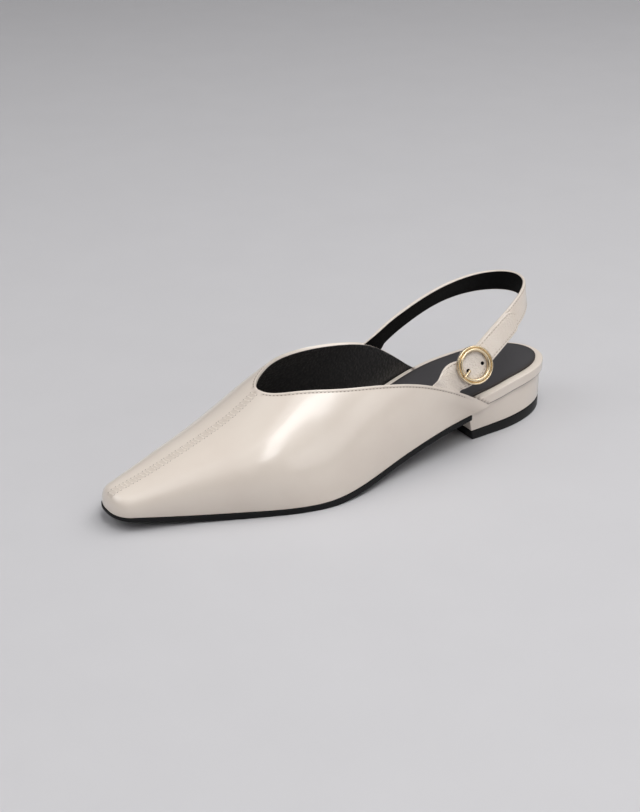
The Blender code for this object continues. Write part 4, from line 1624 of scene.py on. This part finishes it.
    def build_sling(self, leather: bpy.types.Material, lining: bpy.types.Material) -> None:
        """Makes the sling, which folds back round the buckle's bar.

        Args:
            leather: the outer finish.
            lining: the inner finish.
        """
        s = np.linspace(self.sling_start, self.band.length - 4.0, 170)
        points, _, wides, outs = self.band.frames(s)
        thicks = self.tail_thick + (self.sling_thick - self.tail_thick) * np.clip((s - 22.0) / 8.0, 0.0, 1.0)
        end, run, wide, out = self.band.frames(self.band.length)
        layer = (self.sling_thick - self.fold_thick) / 2.0
        more = [(end - run * 2.0 + out * layer, wide, out)]
        for angle in np.linspace(0.0, math.pi, 17):
            radial = out * math.cos(angle) + run * math.sin(angle)
            more.append((end + out * self.bar_level + radial * self.fold_radius, wide, radial))
        for back in (2.5, 4.5, 6.5, self.fold_length):
            p, _, w, n = self.band.frames(self.band.length - back)
            more.append((p + n * (self.bar_level - self.fold_radius), w, -n))
        points = np.concatenate([points, [m[0] for m in more]])
        wides = np.concatenate([wides, [m[1] for m in more]])
        outs = np.concatenate([outs, [m[2] for m in more]])
        thicks = np.concatenate([thicks, np.full(len(more), self.fold_thick)])
        loops = self.section(np.full(len(points), self.width), thicks)
        settle = self.settled(Side.MEDIAL, self.sling_depth, 4.0, 0.5)
        piece = finish_piece("sling_strap_leather", sweep(points, wides, outs, loops, self.lined, settle),
                             (leather, lining), "sling_strap")
        slot = bmesh.new()
        bmesh.ops.create_cube(slot, size=1.0)
        bmesh.ops.scale(slot, vec=(6.2, 2.0 * self.slot_half, 8.0), verts=slot.verts)
        bmesh.ops.translate(slot, vec=(-0.1, 0.0, self.bar_level), verts=slot.verts)
        slot.transform(self.buckle_place())
        carve(piece, slot, lining)

    def billet_stations(self) -> tuple[Array, Array]:
        """Spaces the billet's stations.

        Returns:
            Distances from its round end, and its width at each.
        """
        turn = np.linspace(0.12, math.pi / 2.0, 16)
        s = np.concatenate([self.end_round * (1.0 - np.cos(turn)),
                            np.linspace(self.end_round, self.tail.length - self.tail_spare, 90)[1:]])
        flare = np.clip((s - self.overlap + self.flare_lead) / self.flare_length, 0.0, 1.0)
        widths = self.width + (self.base_width - self.width) * flare
        widths = widths + self.ring_swell * np.exp(-((s - self.overlap) / 3.6) ** 2)
        widths[:16] = widths[:16] * np.sin(turn)
        return s, widths

    def build_billet(self, leather: bpy.types.Material, lining: bpy.types.Material) -> None:
        """Makes the billet with its round end and punched holes.

        Args:
            leather: the outer finish.
            lining: the inner finish and the finish inside the holes.
        """
        s, widths = self.billet_stations()
        points, _, wides, outs = self.tail.frames(s)
        thinned = np.clip((s - self.overlap - 16.0) / 8.0, 0.0, 1.0)
        thicks = self.billet_thick + (self.tail_thick - self.billet_thick) * thinned
        loops = self.section(widths, thicks)
        settle = self.settled(Side.LATERAL, self.billet_depth, 3.5, 0.5)
        piece = finish_piece("billet_leather", sweep(points, wides, outs, loops, self.lined, settle),
                             (leather, lining), "strap_billet")
        holes = (((self.hole_at, 0.0), self.hole_radius), (self.spare_hole_at, self.spare_hole_radius))
        for (along, across), radius in holes:
            hole = bmesh.new()
            bmesh.ops.create_cone(hole, cap_ends=True, segments=24, radius1=radius, radius2=radius, depth=3.0)
            bmesh.ops.translate(hole, vec=(along, across, self.billet_level + 1.0), verts=hole.verts)
            hole.transform(self.buckle_place())
            carve(piece, hole, lining)

    def sew(self, thread: bpy.types.Material) -> None:
        """Adds the edge stitches of both straps.

        Args:
            thread: the thread's finish.
        """
        bm = bmesh.new()
        s = np.linspace(self.sling_start + 13.0, self.band.length - 12.0, 160)
        self.sew_edges(bm, self.band, s, np.full(len(s), self.width), self.sling_thick)
        s, widths = self.billet_stations()
        kept = s < self.overlap + 14.0
        self.sew_edges(bm, self.tail, s[kept], widths[kept], self.billet_thick)
        finish_piece("strap_stitches", bm, (thread,))

    def sew_edges(self, bm: Mesh, band: Band, s: Array, widths: Array, thick: float) -> None:
        """Runs stitches along both edges of one strap.

        Args:
            bm: the mesh that takes them.
            band: the strap's run.
            s: distances along it.
            widths: the strap's width there.
            thick: the strap's thickness.
        """
        points, _, wides, outs = band.frames(s)
        for sign in (1.0, -1.0):
            reach = np.maximum(widths / 2.0 - self.stitch_in, 0.0)
            line = points + wides * sign * reach[:, None] + outs * (thick / 2.0 * 0.88)
            marks, normals = spread_evenly(line, outs, self.stitch_pitch)
            for here, there, normal in zip(marks, marks[1:], normals):
                run = there - here
                trim = run * self.stitch_trim
                add_stitch(bm, here + trim, there - trim, normal, self.stitch_wide, self.stitch_tall)


@dataclass
class Buckle:
    """Round gold ring with a sloped inner face, its bar behind the strap and its prong."""

    outer: float = 9.8
    inner: float = 6.9
    bar_reach: float = 8.3
    bar_bend: float = 1.2
    prong_radius: float = 0.65
    eye_wall: float = 0.75
    eye_half: float = 0.7
    segments: int = 96

    # Ring profile: distance in from the outer radius, and height over the ring's back
    profile: Rows = (
        (2.9, 0.0), (0.5, 0.0), (0.16, 0.12), (0.0, 0.45), (0.0, 1.4), (0.07, 1.65), (0.25, 1.83),
        (0.48, 1.9), (0.7, 1.82), (0.84, 1.56), (0.93, 1.2), (1.1, 1.05), (1.27, 1.15), (1.4, 1.6),
        (1.56, 1.95), (1.82, 2.14), (2.15, 2.2), (2.45, 2.14), (2.7, 1.95), (2.85, 1.65), (2.9, 1.3),
    )

    @staticmethod
    def spun(profile: Rows, axis: Vector, steps: int) -> Mesh:
        """Spins a closed profile round an axis.

        Args:
            profile: radius and height of each corner.
            axis: the axis, along y or z.
            steps: faces round the ring.

        Returns:
            The closed mesh.
        """
        bm = bmesh.new()
        side = Vector((1.0, 0.0, 0.0)) if axis.z else Vector((0.0, 0.0, 1.0))
        verts = [bm.verts.new(side * radius + axis * height) for radius, height in profile]
        edges = [bm.edges.new((verts[i], verts[(i + 1) % len(verts)])) for i in range(len(verts))]
        bmesh.ops.spin(bm, geom=verts + edges, cent=(0, 0, 0), axis=axis, angle=2.0 * math.pi, steps=steps,
                       use_merge=True, use_duplicate=False)
        bmesh.ops.remove_doubles(bm, verts=bm.verts, dist=WELD)
        bmesh.ops.recalc_face_normals(bm, faces=bm.faces)
        return bm

    @staticmethod
    def join(target: Mesh, other: Mesh) -> None:
        """Puts one mesh into another.

        Args:
            target: the mesh that takes the other.
            other: the mesh that is used up.
        """
        mesh = bpy.data.meshes.new("part")
        other.to_mesh(mesh)
        other.free()
        target.from_mesh(mesh)
        bpy.data.meshes.remove(mesh)

    def build(self, straps: Straps, ring_gold: bpy.types.Material, prong_gold: bpy.types.Material) -> None:
        """Makes the ring with its bar, and the prong.

        Args:
            straps: the straps that it closes.
            ring_gold: the ring's finish.
            prong_gold: the prong's finish.
        """
        place = straps.buckle_place()
        back = straps.ring_back
        bar = straps.bar_level
        ring = self.spun([(self.outer - less, back + height) for less, height in self.profile],
                         Vector((0.0, 0.0, 1.0)), self.segments)
        bend = self.bar_bend
        points = []
        for sign in (1, -1):
            post = [(0.0, sign * self.bar_reach, back + 0.6), (0.0, sign * self.bar_reach, bar + bend)]
            for k in range(1, 7):
                angle = math.pi / 2.0 * k / 6.0
                post.append((0.0, sign * (self.bar_reach - bend + bend * math.cos(angle)),
                             bar + bend - bend * math.sin(angle)))
            points += post if sign > 0 else post[::-1]
        line = [Vector(p) for p in points]
        self.join(ring, rod(line, [straps.bar_radius] * len(line), Vector((1.0, 0.0, 0.0))))
        ring.transform(place)
        finish_piece("gold_ring", ring, (ring_gold,), "buckle_frame", sharp_deg=50.0)

        inner = straps.bar_radius + straps.bar_play
        wide = inner + self.eye_wall
        half = self.eye_half
        eye = ((inner, -half), (wide, -half), (wide, half), (inner, half))
        prong = self.spun(eye, Vector((0.0, 1.0, 0.0)), 36)
        bmesh.ops.translate(prong, vec=(0.0, 0.0, bar), verts=prong.verts)
        hole = straps.hole_at
        low = bar + inner + 0.35
        rest = back + 1.1 + self.prong_radius + GAP
        path = (
            (0.6, 0.0, low), (hole - 1.2, 0.0, low), (hole - 0.35, 0.0, low + 0.35), (hole, 0.0, low + 1.2),
            (hole, 0.0, rest - 0.9), (hole + 0.3, 0.0, rest - 0.2), (hole + 1.0, 0.0, rest),
            (self.inner + 1.8, 0.0, rest + 1.2),
        )
        pin = smooth_path(path, 40)
        radii = [self.prong_radius] * 36 + [self.prong_radius * share for share in (0.97, 0.9, 0.75, 0.45)]
        self.join(prong, rod(pin, radii, Vector((0.0, 1.0, 0.0))))
        prong.transform(place)
        finish_piece("gold_prong", prong, (prong_gold,), "buckle_prong", sharp_deg=50.0)


@dataclass(frozen=True)
class Softbox:
    """One soft light: where it hangs round the shoe, and how large and strong it is.

    The azimuth and height are its direction in degrees, from the toe towards the lateral side
    and up from the floor. Reach, breadth and tallness are in metres.
    """

    name: str
    azimuth: float
    height: float
    reach: float
    wide: float
    tall: float
    watts: float

    def hang(self, target: Vector) -> None:
        """Hangs the light so that it faces a target.

        Args:
            target: the point it faces, in metres.
        """
        around = math.radians(self.azimuth)
        above = math.radians(self.height)
        flat = math.cos(above)
        way = Vector((flat * math.cos(around), flat * math.sin(around), math.sin(above)))
        light = bpy.data.lights.new(self.name, "AREA")
        light.shape = "RECTANGLE"
        light.size = self.wide
        light.size_y = self.tall
        light.energy = self.watts
        lamp = bpy.data.objects.new(self.name, light)
        lamp.location = target + way * self.reach
        lamp.rotation_euler = way.to_track_quat("Z", "Y").to_euler()
        bpy.context.scene.collection.objects.link(lamp)


@dataclass
class Studio:
    """Pale floor, soft light and the camera at the photograph's angle."""

    camera_mm: tuple[float, float, float] = (522.40, 584.50, 403.03)
    pitch_deg: float = 62.0
    turn_deg: float = 146.677
    lens_mm: float = 70.936
    floor_size: float = 12.0
    zenith: float = 0.28
    horizon: float = 0.08
    middle: tuple[float, float, float] = (0.045, 0.02, 0.04)
    lights: tuple[Softbox, ...] = (
        Softbox("key_softbox", 130.0, 73.0, 1.3, 1.0, 1.0, 6.2),
        Softbox("highlight_softbox", 76.0, 57.0, 1.3, 0.3, 0.75, 4.4),
        Softbox("side_softbox", 112.0, 20.0, 1.5, 1.0, 0.6, 2.6),
        Softbox("toe_softbox", 332.0, 42.0, 1.5, 1.0, 1.0, 6.4),
        Softbox("heel_softbox", 178.0, 52.0, 1.5, 1.0, 1.0, 6.0),
    )

    def hang_sky(self) -> None:
        """Makes a neutral sky that is bright overhead and dim at the horizon."""
        world = bpy.data.worlds.new("soft_studio")
        world.use_nodes = True
        tree = world.node_tree
        way = add_node(tree, "TexCoord").outputs["Generated"]
        parts = add_node(tree, "SeparateXYZ", links={"Vector": way})
        glow = add_node(tree, "MapRange", {"To Min": self.horizon, "To Max": self.zenith},
                        {"Value": parts.outputs["Z"]})
        sky = tree.nodes["Background"]
        sky.inputs["Color"].default_value = linear("#FDFCFF")
        tree.links.new(glow.outputs[0], sky.inputs["Strength"])
        bpy.context.scene.world = world

    def build(self, paper: bpy.types.Material) -> None:
        """Lays the floor, hangs the lights and sets the camera.

        Args:
            paper: the floor's finish.
        """
        scene = bpy.context.scene
        scene.view_settings.view_transform = "Standard"
        bm = bmesh.new()
        bmesh.ops.create_grid(bm, x_segments=4, y_segments=4, size=self.floor_size / 2.0)
        mesh = bpy.data.meshes.new("studio_floor")
        bm.to_mesh(mesh)
        bm.free()
        mesh.materials.append(paper)
        floor = bpy.data.objects.new("studio_floor", mesh)
        scene.collection.objects.link(floor)
        self.hang_sky()
        for light in self.lights:
            light.hang(Vector(self.middle))
        lens = bpy.data.cameras.new("photo_camera")
        lens.lens = self.lens_mm
        lens.sensor_width = 36.0
        lens.sensor_fit = "AUTO"
        camera = bpy.data.objects.new("photo_camera", lens)
        camera.location = (Vector(self.camera_mm) + LAST.shift()) * MM
        camera.rotation_euler = (math.radians(self.pitch_deg), 0.0, math.radians(self.turn_deg))
        scene.collection.objects.link(camera)
        scene.camera = camera


def main() -> None:
    """Builds the shoe in order and reports each piece."""
    logging.basicConfig(level=logging.INFO, format="%(message)s")
    leather = GlazedLeather("cream_glazed_leather").material()
    # The rim and heel take a darker painted shade colour, for the shade along their joint and under the ends
    # of the wings.
    rim = GlazedLeather("cream_rim_leather", painted_shade="#5E4E44").material()
    cover = GlazedLeather("cream_heel_leather", painted_shade="#5E4E44").material()
    strap = GlazedLeather("cream_strap_leather", grain_mm=0.9, wrinkle_depth_mm=0.12,
                          roughness=0.34).material()
    billet = GlazedLeather("cream_billet_leather", grain_mm=0.9, wrinkle_depth_mm=0.16,
                           roughness=0.34).material()
    lining = PebbledLining().material()
    strap_lining = PebbledLining("black_strap_lining", "#0C0B0B", "#070606", pebble_mm=0.8, depth_mm=0.04,
                                 valley_roughness=0.75, crown_roughness=0.6, shine=0.15).material()
    # The topline thread is darker than its own colour: it carries painted shade for the pits between stitches
    # and for the seam's needle holes.
    thread = WaxedThread("taupe_thread_with_painted_shade", "#86776B", "#6C5E54").material()
    seam_thread = WaxedThread("cream_waxed_thread", "#EDE4DA", "#D6CABD").material()
    strap_thread = WaxedThread("buff_waxed_thread", "#BDAE9F", "#A59587").material()
    Studio().build(MattPaper().material())
    upper = Upper()
    upper.build(leather, lining)
    upper.sew(thread, seam_thread)
    bottom = Bottom()
    bottom.build_outsole(MouldedRubber("black_sole_rubber").material())
    bottom.build_heel(cover, MouldedRubber("black_lift_rubber", roughness=0.42).material())
    bottom.build_footbed(rim)
    bottom.build_sock(SockLeather().material())
    straps = Straps()
    straps.build_sling(strap, strap_lining)
    straps.build_billet(billet, strap_lining)
    straps.sew(strap_thread)
    ring_gold = PolishedBrass("gold_ring_brass").material()
    Buckle().build(straps, ring_gold, PolishedBrass("gold_prong_brass").material())


if __name__ == "__main__":
    main()
